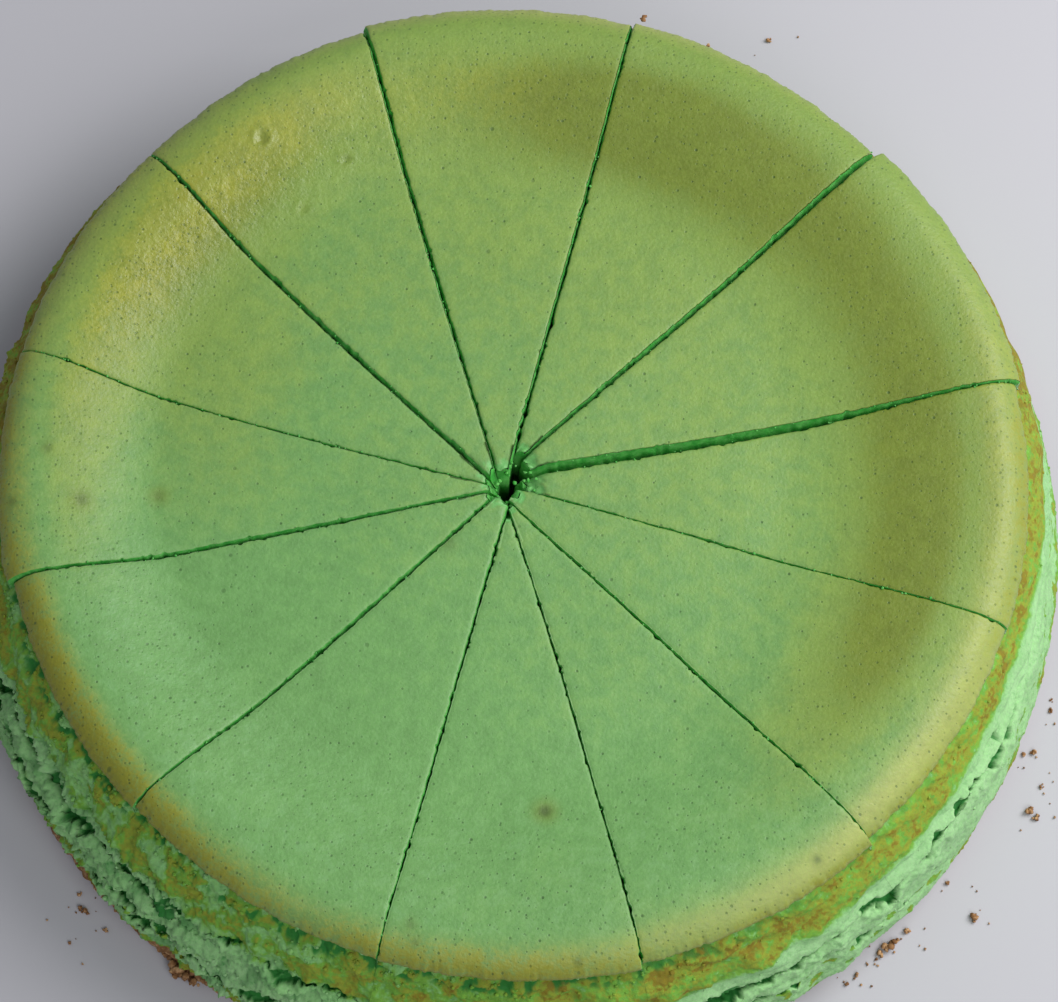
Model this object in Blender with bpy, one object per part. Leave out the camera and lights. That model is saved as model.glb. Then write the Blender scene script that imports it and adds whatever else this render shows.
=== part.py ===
"""A round baked cheesecake, cut into twelve slices that still stand together.

Each slice is two solids: the filling, with its dished top, rolled rim and torn outer wall, and the
thin crumb base under it. The knife cuts meet round a small ragged pit near the middle of the cake.
Metres, +Z up, with the origin under the middle of the cake, on the surface that it stands on.
Run it with blender --background --python part.py, or from Blender's text editor.
"""

import math
from typing import NamedTuple

import bmesh
import bpy
import numpy as np
from mathutils import Vector, noise

# Sizes are in millimetres here, and become metres when a mesh is made
MM = 0.001

# The whole cake, baked in a ten-inch springform tin
TIN_RADIUS = 127.0
SKIN_RADIUS = 113.5
SKIN_EDGE_HEIGHT = 44.0
CREST_HEIGHT = 48.5
MIDDLE_HEIGHT = 41.8
CREST_SHARE = 0.93
RISE_SHARE = 0.60
RISE_SKEW = 0.09
ROLL_POWER = 0.7
BASE_THICKNESS = 5.0
CLEARANCE = 0.3

# Where the cuts meet, beside the middle of the cake
HUB = Vector((-2.3, -4.4))

# Relief of the torn outer wall
CRAG_LENGTH = 11.0
CRAG_STRETCH = 1.7
FINE_CRAG_FACTOR = 2.2
FINE_CRAG_SHARE = 0.6
LAYER_STEP = 7.3
SKIN_RAGGED = 0.35
CRACK_HEIGHT = 24.6
CRACK_WANDER = 2.4
CRACK_WANDER_LENGTH = 34.0
CRACK_REACH = 9.0
CRACK_DEPTH = 2.6
CRACK_DEPTH_LENGTH = 17.0
CRACK_DEPTH_SWING = 1.3
DEEP_CRACK_ANGLE = 218.0
DEEP_CRACK_WIDTH = 40.0
DEEP_CRACK_EXTRA = 2.0
CRACK_RISE = 5.0
CRACK_RISE_ANGLE = 330.0
CRACK_RISE_WIDTH = 34.0

# How rough the wall is round the cake: degrees, then a share of the full crags
ROUGHNESS = (
    (0, 0.45), (20, 0.35), (60, 0.4), (120, 0.4), (165, 0.35), (185, 0.6), (205, 1.0), (275, 1.0), (300, 0.7), (325, 0.5),
)

# How far the wall is drawn in behind and beside the cake: degrees round the cake, then millimetres
LEDGE_TUCK = ((5, 0.0), (20, 0.6), (45, 1.8), (60, 2.2), (125, 2.2), (138, 1.6), (150, 0.9), (170, 0.5), (190, 0.0))
BELLY_TUCK = (
    (8, 3.3), (30, 3.0), (60, 1.0), (120, 1.4), (150, 3.6), (165, 4.6), (180, 4.6), (192, 3.0), (205, 0.5),
    (215, 0.0), (320, 0.0), (335, 0.5), (350, 1.8),
)

# Heights over which each of the two comes in, and over which the wall swings back out to the foot
LEDGE_TUCK_FROM = 43.0
LEDGE_TUCK_OVER = 7.0
BELLY_TUCK_FROM = 35.0
BELLY_TUCK_OVER = 9.0
FOOT_FLARE_FROM = 12.0
FOOT_FLARE_OVER = 7.0

# Relief of the crumb base
BASE_RADIUS = 126.0
BASE_CRUMB = 0.7
BASE_CRUMB_LENGTH = 6.0
BASE_TOE = 0.5
SPILL_ANGLE = 229.0
SPILL_WIDTH = 38.0
SPILL_EXTRA = 1.6

# How finely the solids are divided
TOP_ROWS = (
    (0.14, 4), (0.26, 5), (0.39, 6), (0.52, 8), (0.63, 10), (0.73, 12),
    (0.82, 14), (0.885, 16), (0.93, 18), (0.963, 20), (0.986, 20), (1.0, 20),
)
TIP_COLUMNS = 3
TIP_RAGGED = 0.12
WALL_COLUMNS = 20
BASE_COLUMNS = 13
BASE_SHARES = (0.18, 0.4, 0.62, 0.82)
SHARP_ANGLE = math.radians(38.0)


class Cut(NamedTuple):
    """One knife cut from the hub to the rim; gaps are between the two slices beside it."""

    angle: float
    miss: float
    bow: float
    tip_gap: float
    middle_gap: float
    rim_gap: float


class Slice(NamedTuple):
    """One slice, from its own cut round to the next, with the skin's radius beside each."""

    tip: float
    start_radius: float
    end_radius: float
    lift: float


class Station(NamedTuple):
    """One level of the outer wall, from the skin's edge down to the foot."""

    radius: float
    height: float
    crag: float
    crack: float


CUTS = (
    Cut(14.8, 2.9, -0.5, 2.2, 1.9, 0.4),
    Cut(46.2, 2.8, 0.3, 0.9, 1.3, 1.6),
    Cut(78.2, 0.4, 0.0, 0.7, 0.8, 0.7),
    Cut(109.3, 1.0, 0.3, 0.5, 0.9, 1.0),
    Cut(138.6, 0.9, 0.8, 0.9, 1.0, 0.5),
    Cut(167.0, 0.2, 1.1, 0.4, 0.4, 0.4),
    Cut(195.0, 0.0, 0.2, 0.6, 0.9, 0.7),
    Cut(225.7, -0.3, 0.6, 0.8, 1.0, 0.6),
    Cut(258.5, 1.6, -0.2, 0.6, 0.6, 0.4),
    Cut(287.8, -1.0, 1.2, 0.4, 0.4, 0.4),
    Cut(316.7, -2.2, 1.2, 0.6, 0.7, 0.5),
    Cut(345.9, 0.6, 1.0, 0.4, 0.4, 0.4),
)

SLICES = (
    Slice(7.0, 114.6, 114.2, 0.2),
    Slice(8.5, 112.4, 113.6, -0.1),
    Slice(4.5, 112.7, 114.5, 0.0),
    Slice(4.5, 113.2, 112.9, 0.3),
    Slice(4.5, 113.4, 114.2, -0.2),
    Slice(4.0, 114.4, 114.6, 0.1),
    Slice(4.2, 113.1, 112.8, -0.1),
    Slice(3.6, 112.3, 113.6, 0.2),
    Slice(7.0, 113.9, 114.9, 0.0),
    Slice(4.8, 113.8, 113.9, 0.3),
    Slice(3.0, 112.3, 112.7, -0.2),
    Slice(4.5, 113.2, 113.5, -0.3),
)

WALL = (
    Station(111.9, 42.3, 0.8, 0.0),
    Station(114.3, 40.2, 1.6, 0.0),
    Station(117.2, 36.4, 2.0, 0.0),
    Station(119.9, 32.2, 2.4, 0.0),
    Station(120.8, 29.6, 1.8, 0.35),
    Station(122.6, 26.2, 1.8, 0.0),
    Station(122.9, 24.4, 1.2, 1.0),
    Station(124.1, 22.3, 1.8, 0.0),
    Station(126.0, 17.2, 2.2, 0.2),
    Station(127.0, 11.4, 1.8, 0.0),
    Station(126.9, BASE_THICKNESS + CLEARANCE, 0.8, 0.0),
)


def ease(value):
    """Smooth step from 0 to 1."""
    value = min(max(value, 0.0), 1.0)
    return value * value * (3.0 - 2.0 * value)


def bell(angle, centre, width):
    """1 at the centre angle, fading to 0 at width degrees to either side."""
    away = abs((angle - centre + 180.0) % 360.0 - 180.0)
    return ease(1.0 - away / width)


def around(knots, theta):
    """Value at an angle in radians, from values at a few angles in degrees."""
    angles, values = zip(*knots)
    return float(np.interp(math.degrees(theta), angles, values, period=360.0))


def ring_noise(theta, height, length, layer):
    """Noise that closes round the cake, for an angle in radians and a height, with the given wavelength."""
    where = Vector((math.cos(theta) * TIN_RADIUS, math.sin(theta) * TIN_RADIUS, height * CRAG_STRETCH))
    return noise.noise(where / length + Vector((0.0, 0.0, LAYER_STEP * layer)))


def gap_at(cut, share):
    """Width of the cut at a share of the way from the hub to the rim."""
    if share < 0.5:
        return cut.tip_gap + (cut.middle_gap - cut.tip_gap) * ease(share / 0.5)
    return cut.middle_gap + (cut.rim_gap - cut.middle_gap) * ease(share / 0.5 - 1.0)


def reach(angle, radius):
    """Distance from the hub, along an angle in radians, to the circle of this radius about the cake's middle."""
    along = HUB.x * math.cos(angle) + HUB.y * math.sin(angle)
    return math.sqrt(along * along + radius * radius - HUB.length_squared) - along


def face_angle(cut, share, side):
    """Angle about the hub, in radians, of the cut's face on this side (+1 counter-clockwise, -1 clockwise)."""
    angle = math.radians(cut.angle)
    inside = min(share, 1.0)
    aside = cut.miss * (1.0 - inside) + cut.bow * math.sin(math.pi * inside)
    away = share * reach(angle, SKIN_RADIUS)
    return angle + math.atan2(aside + side * gap_at(cut, inside) / 2.0, away)


def slice_angle(index, column, share):
    """Angle about the hub at a column, from 0 on the slice's own cut to 1 on the next one."""
    start = face_angle(CUTS[index], share, 1.0)
    end = face_angle(CUTS[(index + 1) % len(CUTS)], share, -1.0)
    if end < start:
        end += 2.0 * math.pi
    return start + (end - start) * column


def on_ray(angle, distance):
    """Plan point at this distance from the hub."""
    return Vector((HUB.x + distance * math.cos(angle), HUB.y + distance * math.sin(angle)))


def skin_radius(index, column):
    """Radius of the skin's edge about the cake's middle."""
    piece = SLICES[index]
    return piece.start_radius + (piece.end_radius - piece.start_radius) * column


def top_height(point, radius):
    """Height of the dished top at a plan point, where the skin ends at the given radius."""
    share = point.length / radius
    rise_from = RISE_SHARE - RISE_SKEW * point.x / max(point.length, 1.0)
    if share < CREST_SHARE:
        return MIDDLE_HEIGHT + (CREST_HEIGHT - MIDDLE_HEIGHT) * ease((share - rise_from) / (CREST_SHARE - rise_from))
    rolled = min((share - CREST_SHARE) / (1.0 - CREST_SHARE), 1.0)
    return SKIN_EDGE_HEIGHT + (CREST_HEIGHT - SKIN_EDGE_HEIGHT) * (1.0 - rolled * rolled) ** ROLL_POWER


def top_row(index, share, columns):
    """Points of one row across the top of a slice."""
    points = []
    for step in range(columns):
        column = step / (columns - 1)
        angle = slice_angle(index, column, share)
        radius = skin_radius(index, column)
        if share == 1.0:
            radius += SKIN_RAGGED * ring_noise(angle, 0.0, CRAG_LENGTH / 2.0, 1)
        plan = on_ray(angle, share * reach(angle, radius))
        points.append(plan.to_3d() + Vector((0.0, 0.0, top_height(plan, radius) + SLICES[index].lift)))
    return points


def tip_row(index):
    """Points of the blunt, torn end of a slice at the pit."""
    points = top_row(index, SLICES[index].tip / SKIN_RADIUS, TIP_COLUMNS)
    for point in points[1:-1]:
        torn = 1.0 + TIP_RAGGED * (1.0 + noise.noise(point))
        point.xy = HUB + (point.xy - HUB) * torn
    return points


def crack_depth(theta):
    """How far the crack round the wall goes in, at this angle in radians."""
    open_share = 0.5 + ring_noise(theta, 0.0, CRACK_DEPTH_LENGTH, 2)
    extra = DEEP_CRACK_EXTRA * bell(math.degrees(theta), DEEP_CRACK_ANGLE, DEEP_CRACK_WIDTH)
    return max(0.0, CRACK_DEPTH * CRACK_DEPTH_SWING * open_share + extra)


def crack_drift(theta):
    """How far the crack runs above its mean height, at this angle in radians."""
    rise = CRACK_RISE * bell(math.degrees(theta), CRACK_RISE_ANGLE, CRACK_RISE_WIDTH)
    return rise + CRACK_WANDER * ring_noise(theta, 0.0, CRACK_WANDER_LENGTH, 5)


def drawn_in(theta, height):
    """How far the wall is drawn in at this angle in radians and this height."""
    ledge = ease((LEDGE_TUCK_FROM - height) / LEDGE_TUCK_OVER)
    belly = ease((BELLY_TUCK_FROM - height) / BELLY_TUCK_OVER)
    belly *= 1.0 - ease((FOOT_FLARE_FROM - height) / FOOT_FLARE_OVER)
    return around(LEDGE_TUCK, theta) * ledge + around(BELLY_TUCK, theta) * belly


def wall_row(index, station):
    """Points of one level of the torn outer wall."""
    points = []
    near_crack = ease(1.0 - abs(station.height - CRACK_HEIGHT) / CRACK_REACH)
    for step in range(WALL_COLUMNS):
        column = step / (WALL_COLUMNS - 1)
        share = station.radius / SKIN_RADIUS
        angle = slice_angle(index, column, share)
        radius = station.radius + (skin_radius(index, column) - SKIN_RADIUS) * station.height / SKIN_EDGE_HEIGHT
        radius += station.crag * around(ROUGHNESS, angle) * (
            ring_noise(angle, station.height, CRAG_LENGTH, 3)
            + FINE_CRAG_SHARE * ring_noise(angle, station.height, CRAG_LENGTH / FINE_CRAG_FACTOR, 4)
        )
        radius -= station.crack * crack_depth(angle) + drawn_in(angle, station.height)
        height = station.height + near_crack * crack_drift(angle)
        points.append(on_ray(angle, reach(angle, radius)).to_3d() + Vector((0.0, 0.0, height)))
    return points


def add_row(mesh, points):
    """Adds a row of vertices, given in millimetres."""
    return [mesh.verts.new(point * MM) for point in points]


def join_rows(mesh, first, second):
    """Fills the strip between two rows, which may have different numbers of vertices."""
    i, j = 0, 0
    while i < len(first) - 1 or j < len(second) - 1:
        ahead_first = (i + 1) * (len(second) - 1) if i < len(first) - 1 else math.inf
        ahead_second = (j + 1) * (len(first) - 1) if j < len(second) - 1 else math.inf
        if ahead_first == ahead_second:
            mesh.faces.new((first[i], first[i + 1], second[j + 1], second[j]))
            i, j = i + 1, j + 1
        elif ahead_first < ahead_second:
            mesh.faces.new((first[i], first[i + 1], second[j]))
            i += 1
        else:
            mesh.faces.new((first[i], second[j + 1], second[j]))
            j += 1


def finished(mesh, name, material):
    """Turns the bmesh into a shaded object with its faces pointing out."""
    bmesh.ops.recalc_face_normals(mesh, faces=mesh.faces)
    data = bpy.data.meshes.new(name)
    mesh.to_mesh(data)
    mesh.free()
    data.shade_smooth()
    data.set_sharp_from_angle(angle=SHARP_ANGLE)
    data.materials.append(material)
    thing = bpy.data.objects.new(name, data)
    bpy.context.scene.collection.objects.link(thing)
    return thing


def add_filling(index, name, material):
    """The filling of one slice: top, outer wall, two cut faces, blunt tip and flat underside."""
    mesh = bmesh.new()
    top = [add_row(mesh, tip_row(index))]
    top += [add_row(mesh, top_row(index, share, columns)) for share, columns in TOP_ROWS]
    wall = [add_row(mesh, wall_row(index, station)) for station in WALL]
    for first, second in zip(top, top[1:]):
        join_rows(mesh, first, second)
    for first, second in zip([top[-1]] + wall, wall):
        join_rows(mesh, first, second)

    floor = BASE_THICKNESS + CLEARANCE
    feet = []
    for side in (0, -1):
        under = []
        for row in top:
            foot = row[side].co.copy()
            foot.z = floor * MM
            under.append(mesh.verts.new(foot))
        for upper, lower in zip(zip(top, top[1:]), zip(under, under[1:])):
            mesh.faces.new((upper[0][side], upper[1][side], lower[1], lower[0]))
        mesh.faces.new([top[-1][side]] + [row[side] for row in wall] + [under[-1]])
        feet.append(under)
    mesh.faces.new(top[0] + [feet[1][0], feet[0][0]])
    mesh.faces.new(feet[0] + wall[-1] + feet[1][::-1])
    return finished(mesh, name, material)


def base_outline(index, height):
    """Outline of the crumb base at one height, counter-clockwise from its tip."""
    tip = SLICES[index].tip / SKIN_RADIUS
    shares = (tip,) + BASE_SHARES
    points = [on_ray(slice_angle(index, 0.0, share), share * SKIN_RADIUS) for share in shares]
    share = BASE_RADIUS / SKIN_RADIUS
    for step in range(BASE_COLUMNS):
        column = step / (BASE_COLUMNS - 1)
        angle = slice_angle(index, column, share)
        radius = BASE_RADIUS + BASE_CRUMB * ring_noise(angle, height * 2.0, BASE_CRUMB_LENGTH, 6)
        radius += SPILL_EXTRA * bell(math.degrees(angle), SPILL_ANGLE, SPILL_WIDTH)
        if height == 0.0:
            radius -= BASE_TOE
        points.append(on_ray(angle, reach(angle, radius)))
    points += [on_ray(slice_angle(index, 1.0, share), share * SKIN_RADIUS) for share in reversed(shares)]
    return [point.to_3d() + Vector((0.0, 0.0, height)) for point in points]


def add_base(index, name, material):
    """The crumb base under one slice."""
    mesh = bmesh.new()
    levels = [add_row(mesh, base_outline(index, height)) for height in (0.0, BASE_THICKNESS / 2.0, BASE_THICKNESS)]
    for lower, upper in zip(levels, levels[1:]):
        for step in range(len(lower)):
            mesh.faces.new((lower[step - 1], lower[step], upper[step], upper[step - 1]))
    mesh.faces.new(levels[0][::-1])
    mesh.faces.new(levels[-1])
    return finished(mesh, name, material)


def plain_material(name, colour, roughness):
    """A Principled material for one kind of piece."""
    material = bpy.data.materials.new(name)
    material.use_nodes = True
    shader = material.node_tree.nodes["Principled BSDF"]
    shader.inputs["Base Color"].default_value = (*colour, 1.0)
    shader.inputs["Roughness"].default_value = roughness
    shader.inputs["Metallic"].default_value = 0.0
    return material


def main():
    """Clears the scene and builds the twelve slices."""
    for thing in list(bpy.data.objects):
        bpy.data.objects.remove(thing, do_unlink=True)
    filling = plain_material("green_filling", (0.23, 0.45, 0.13), 0.55)
    crumb = plain_material("biscuit_crumb", (0.23, 0.085, 0.025), 0.85)
    for index in range(len(SLICES)):
        add_filling(index, f"slice_{index + 1:02d}_filling", filling)
        add_base(index, f"slice_{index + 1:02d}_base", crumb)


main()
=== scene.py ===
"""Looks of a round green cheesecake, cut into twelve slices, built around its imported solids.

Every slice's filling and crumb base are replaced by finely modelled meshes of the same form. Torn
bits along the cuts, granules of the base and loose crumbs round the foot are added by Geometry
Nodes. Lengths are in millimetres until a mesh is made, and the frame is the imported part's own.
"""

import logging
import math
from dataclasses import dataclass, field
from enum import Enum
from typing import Sequence

import bpy
import numpy as np
from mathutils import Matrix, Vector, noise


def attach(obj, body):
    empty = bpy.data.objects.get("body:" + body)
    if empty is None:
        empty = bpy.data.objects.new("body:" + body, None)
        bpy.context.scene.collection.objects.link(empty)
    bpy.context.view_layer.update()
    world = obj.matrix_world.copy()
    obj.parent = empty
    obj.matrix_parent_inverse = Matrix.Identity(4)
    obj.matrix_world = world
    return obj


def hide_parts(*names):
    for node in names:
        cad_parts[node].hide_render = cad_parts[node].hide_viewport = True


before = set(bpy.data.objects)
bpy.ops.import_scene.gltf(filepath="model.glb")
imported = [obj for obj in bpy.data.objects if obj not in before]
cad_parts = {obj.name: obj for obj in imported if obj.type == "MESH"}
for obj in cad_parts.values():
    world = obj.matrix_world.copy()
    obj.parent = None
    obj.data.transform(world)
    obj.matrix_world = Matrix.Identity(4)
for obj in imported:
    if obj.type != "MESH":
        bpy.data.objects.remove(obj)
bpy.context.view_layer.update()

LOG = logging.getLogger("cheesecake")
MM = 0.001
BODY = "root"
LUMP_KINDS = 5
FULL_TURN = 2.0 * math.pi


# Small helpers


def ease(value: np.ndarray | float) -> np.ndarray:
    """Smooth step from 0 to 1."""
    value = np.clip(value, 0.0, 1.0)
    return value * value * (3.0 - 2.0 * value)


def bell(theta: np.ndarray, centre: float, width: float) -> np.ndarray:
    """1 at a centre angle in degrees, fading to 0 at width degrees to either side, for angles in radians."""
    away = np.abs((np.degrees(theta) - centre + 180.0) % 360.0 - 180.0)
    return ease(1.0 - away / width)


def perlin(points: np.ndarray) -> np.ndarray:
    """Smooth noise at each row of an (n, 3) array."""
    return np.fromiter((noise.noise(point) for point in points.tolist()), float, len(points))


def put_in_scene(name: str, data: bpy.types.ID) -> bpy.types.Object:
    """A new object of a mesh, light or camera, linked to the scene."""
    thing = bpy.data.objects.new(name, data)
    bpy.context.scene.collection.objects.link(thing)
    return thing


@dataclass(frozen=True)
class Wreath:
    """A value that changes round the cake, given at a few angles in degrees."""

    knots: tuple[tuple[float, float], ...]

    def at(self, theta: np.ndarray) -> np.ndarray:
        """The value at angles in radians."""
        angles = [angle for angle, _ in self.knots]
        values = [value for _, value in self.knots]
        return np.interp(np.degrees(theta) % 360.0, angles, values, period=360.0)


# The form of the cake, repeated from the part's source


@dataclass(frozen=True)
class Cut:
    """One knife cut from the hub to the rim; gaps are between the two slices beside it."""

    angle: float
    miss: float
    bow: float
    tip_gap: float
    middle_gap: float
    rim_gap: float

    def gap(self, share: np.ndarray) -> np.ndarray:
        """Width of the cut at a share of the way from the hub to the rim."""
        inner = self.tip_gap + (self.middle_gap - self.tip_gap) * ease(share / 0.5)
        outer = self.middle_gap + (self.rim_gap - self.middle_gap) * ease(share / 0.5 - 1.0)
        return np.where(share < 0.5, inner, outer)

    def aside(self, share: np.ndarray) -> np.ndarray:
        """Sideways distance of the cut from the straight line out of the hub."""
        return self.miss * (1.0 - share) + self.bow * np.sin(math.pi * share)


@dataclass(frozen=True)
class Slice:
    """One slice, from its own cut round to the next, with the skin's radius beside each."""

    tip: float
    start_radius: float
    end_radius: float
    lift: float

    def skin_radius(self, column: np.ndarray) -> np.ndarray:
        """Radius of the skin's edge, from column 0 on the slice's own cut to 1 on the next."""
        return self.start_radius + (self.end_radius - self.start_radius) * column


@dataclass(frozen=True)
class Station:
    """One level of the outer wall, from the skin's edge down to the foot."""

    radius: float
    height: float
    crag: float
    crack: float


CUTS = (
    Cut(14.8, 2.9, -0.5, 2.2, 1.9, 0.4),
    Cut(46.2, 2.8, 0.3, 0.9, 1.3, 1.6),
    Cut(78.2, 0.4, 0.0, 0.7, 0.8, 0.7),
    Cut(109.3, 1.0, 0.3, 0.5, 0.9, 1.0),
    Cut(138.6, 0.9, 0.8, 0.9, 1.0, 0.5),
    Cut(167.0, 0.2, 1.1, 0.4, 0.4, 0.4),
    Cut(195.0, 0.0, 0.2, 0.6, 0.9, 0.7),
    Cut(225.7, -0.3, 0.6, 0.8, 1.0, 0.6),
    Cut(258.5, 1.6, -0.2, 0.6, 0.6, 0.4),
    Cut(287.8, -1.0, 1.2, 0.4, 0.4, 0.4),
    Cut(316.7, -2.2, 1.2, 0.6, 0.7, 0.5),
    Cut(345.9, 0.6, 1.0, 0.4, 0.4, 0.4),
)

SLICES = (
    Slice(7.0, 114.6, 114.2, 0.2),
    Slice(8.5, 112.4, 113.6, -0.1),
    Slice(4.5, 112.7, 114.5, 0.0),
    Slice(4.5, 113.2, 112.9, 0.3),
    Slice(4.5, 113.4, 114.2, -0.2),
    Slice(4.0, 114.4, 114.6, 0.1),
    Slice(4.2, 113.1, 112.8, -0.1),
    Slice(3.6, 112.3, 113.6, 0.2),
    Slice(7.0, 113.9, 114.9, 0.0),
    Slice(4.8, 113.8, 113.9, 0.3),
    Slice(3.0, 112.3, 112.7, -0.2),
    Slice(4.5, 113.2, 113.5, -0.3),
)

WALL = (
    Station(113.5, 44.0, 0.0, 0.0),
    Station(113.2, 43.3, 0.2, 0.0),
    Station(111.9, 42.3, 0.8, 0.0),
    Station(114.3, 40.2, 1.6, 0.0),
    Station(117.2, 36.4, 2.0, 0.0),
    Station(119.9, 32.2, 2.4, 0.0),
    Station(120.8, 29.6, 1.8, 0.35),
    Station(122.6, 26.2, 1.8, 0.0),
    Station(122.9, 24.4, 1.2, 1.0),
    Station(124.1, 22.3, 1.8, 0.0),
    Station(126.0, 17.2, 2.2, 0.2),
    Station(127.0, 11.4, 1.8, 0.0),
    Station(126.9, 5.3, 0.8, 0.0),
)


@dataclass(frozen=True)
class CakeForm:
    """Sizes of the whole cake and the rules that give any point on it."""

    tin_radius: float = 127.0
    skin_radius: float = 113.5
    edge_height: float = 44.0
    crest_height: float = 48.5
    middle_height: float = 41.8
    crest_share: float = 0.93
    rise_share: float = 0.60
    rise_skew: float = 0.09
    roll_power: float = 0.7
    base_thickness: float = 5.0
    clearance: float = 0.3
    hub_x: float = -2.3
    hub_y: float = -4.4
    crag_length: float = 11.0
    crag_stretch: float = 1.7
    layer_step: float = 7.3
    skin_ragged: float = 0.35
    crack_height: float = 24.6
    crack_wander: float = 2.4
    crack_wander_length: float = 34.0
    crack_reach: float = 9.0
    crack_depth: float = 2.6
    crack_depth_length: float = 17.0
    deep_crack_angle: float = 218.0
    deep_crack_width: float = 40.0
    deep_crack_extra: float = 2.0
    crack_rise: float = 5.0
    crack_rise_angle: float = 330.0
    crack_rise_width: float = 34.0
    fine_crag_factor: float = 2.2
    fine_crag_share: float = 0.6
    crack_depth_swing: float = 1.3
    roughness: Wreath = Wreath((
        (0.0, 0.45), (20.0, 0.35), (60.0, 0.4), (120.0, 0.4), (165.0, 0.35), (185.0, 0.6), (205.0, 1.0), (275.0, 1.0),
        (300.0, 0.7), (325.0, 0.5),
    ))
    ledge_tuck: Wreath = Wreath((
        (5.0, 0.0), (20.0, 0.6), (45.0, 1.8), (60.0, 2.2), (125.0, 2.2), (138.0, 1.6), (150.0, 0.9), (170.0, 0.5),
        (190.0, 0.0),
    ))
    belly_tuck: Wreath = Wreath((
        (8.0, 3.3), (30.0, 3.0), (60.0, 1.0), (120.0, 1.4), (150.0, 3.6), (165.0, 4.6), (180.0, 4.6), (192.0, 3.0),
        (205.0, 0.5), (215.0, 0.0), (320.0, 0.0), (335.0, 0.5), (350.0, 1.8),
    ))
    ledge_tuck_from: float = 43.0
    ledge_tuck_over: float = 7.0
    belly_tuck_from: float = 35.0
    belly_tuck_over: float = 9.0
    foot_flare_from: float = 12.0
    foot_flare_over: float = 7.0

    def ring_noise(self, theta: np.ndarray, height: np.ndarray | float, length: float, layer: int) -> np.ndarray:
        """Noise that closes round the cake.

        Args:
            theta: angles in radians.
            height: heights that go with them.
            length: wavelength.
            layer: which of several unlike patterns to read.

        Returns:
            A value for each angle, mostly between -0.5 and 0.5.
        """
        upward = np.broadcast_to(np.asarray(height, float) * self.crag_stretch, theta.shape)
        where = np.stack([np.cos(theta) * self.tin_radius, np.sin(theta) * self.tin_radius, upward], axis=-1)
        return perlin((where / length + (0.0, 0.0, self.layer_step * layer)).reshape(-1, 3)).reshape(theta.shape)

    def reach(self, angle: np.ndarray, radius: np.ndarray | float) -> np.ndarray:
        """Distance from the hub, along an angle, to the circle of this radius about the cake's middle."""
        along = self.hub_x * np.cos(angle) + self.hub_y * np.sin(angle)
        squared = self.hub_x**2 + self.hub_y**2
        return np.sqrt(along * along + np.square(radius) - squared) - along

    def on_ray(self, angle: np.ndarray, distance: np.ndarray) -> tuple[np.ndarray, np.ndarray]:
        """Plan coordinates at a distance from the hub."""
        return self.hub_x + distance * np.cos(angle), self.hub_y + distance * np.sin(angle)

    def face_angle(self, cut: Cut, share: np.ndarray, side: float) -> np.ndarray:
        """Angle about the hub of a cut's face: side +1 is the counter-clockwise face, -1 the other."""
        angle = math.radians(cut.angle)
        inside = np.minimum(share, 1.0)
        away = share * self.reach(np.asarray(angle), self.skin_radius)
        return angle + np.arctan2(cut.aside(inside) + side * cut.gap(inside) / 2.0, away)

    def slice_angle(self, index: int, column: np.ndarray, share: np.ndarray) -> np.ndarray:
        """Angle about the hub at a column of a slice, from 0 on its own cut to 1 on the next one."""
        start = self.face_angle(CUTS[index], share, 1.0)
        end = self.face_angle(CUTS[(index + 1) % len(CUTS)], share, -1.0)
        end = np.where(end < start, end + FULL_TURN, end)
        return start + (end - start) * column

    def top_height(self, x: np.ndarray, y: np.ndarray, radius: np.ndarray) -> np.ndarray:
        """Height of the dished top at plan points, where the skin ends at the given radius."""
        away = np.hypot(x, y)
        share = away / radius
        rise_from = self.rise_share - self.rise_skew * x / np.maximum(away, 1.0)
        climb = ease((share - rise_from) / (self.crest_share - rise_from))
        inner = self.middle_height + (self.crest_height - self.middle_height) * climb
        rolled = np.clip((share - self.crest_share) / (1.0 - self.crest_share), 0.0, 1.0)
        outer = self.edge_height + (self.crest_height - self.edge_height) * (1.0 - rolled**2) ** self.roll_power
        return np.where(share < self.crest_share, inner, outer)

    def crack_open(self, theta: np.ndarray) -> np.ndarray:
        """How far the crack round the wall goes in."""
        open_share = 0.5 + self.ring_noise(theta, 0.0, self.crack_depth_length, 2)
        extra = self.deep_crack_extra * bell(theta, self.deep_crack_angle, self.deep_crack_width)
        return np.maximum(0.0, self.crack_depth * self.crack_depth_swing * open_share + extra)

    def crack_drift(self, theta: np.ndarray) -> np.ndarray:
        """How far the crack runs above its mean height."""
        rise = self.crack_rise * bell(theta, self.crack_rise_angle, self.crack_rise_width)
        return rise + self.crack_wander * self.ring_noise(theta, 0.0, self.crack_wander_length, 5)

    def drawn_in(self, theta: np.ndarray, height: np.ndarray) -> np.ndarray:
        """How far the wall is drawn in behind and beside the cake."""
        ledge = ease((self.ledge_tuck_from - height) / self.ledge_tuck_over)
        belly = ease((self.belly_tuck_from - height) / self.belly_tuck_over)
        belly = belly * (1.0 - ease((self.foot_flare_from - height) / self.foot_flare_over))
        return self.ledge_tuck.at(theta) * ledge + self.belly_tuck.at(theta) * belly


FORM = CakeForm()


# Mesh building


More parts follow.
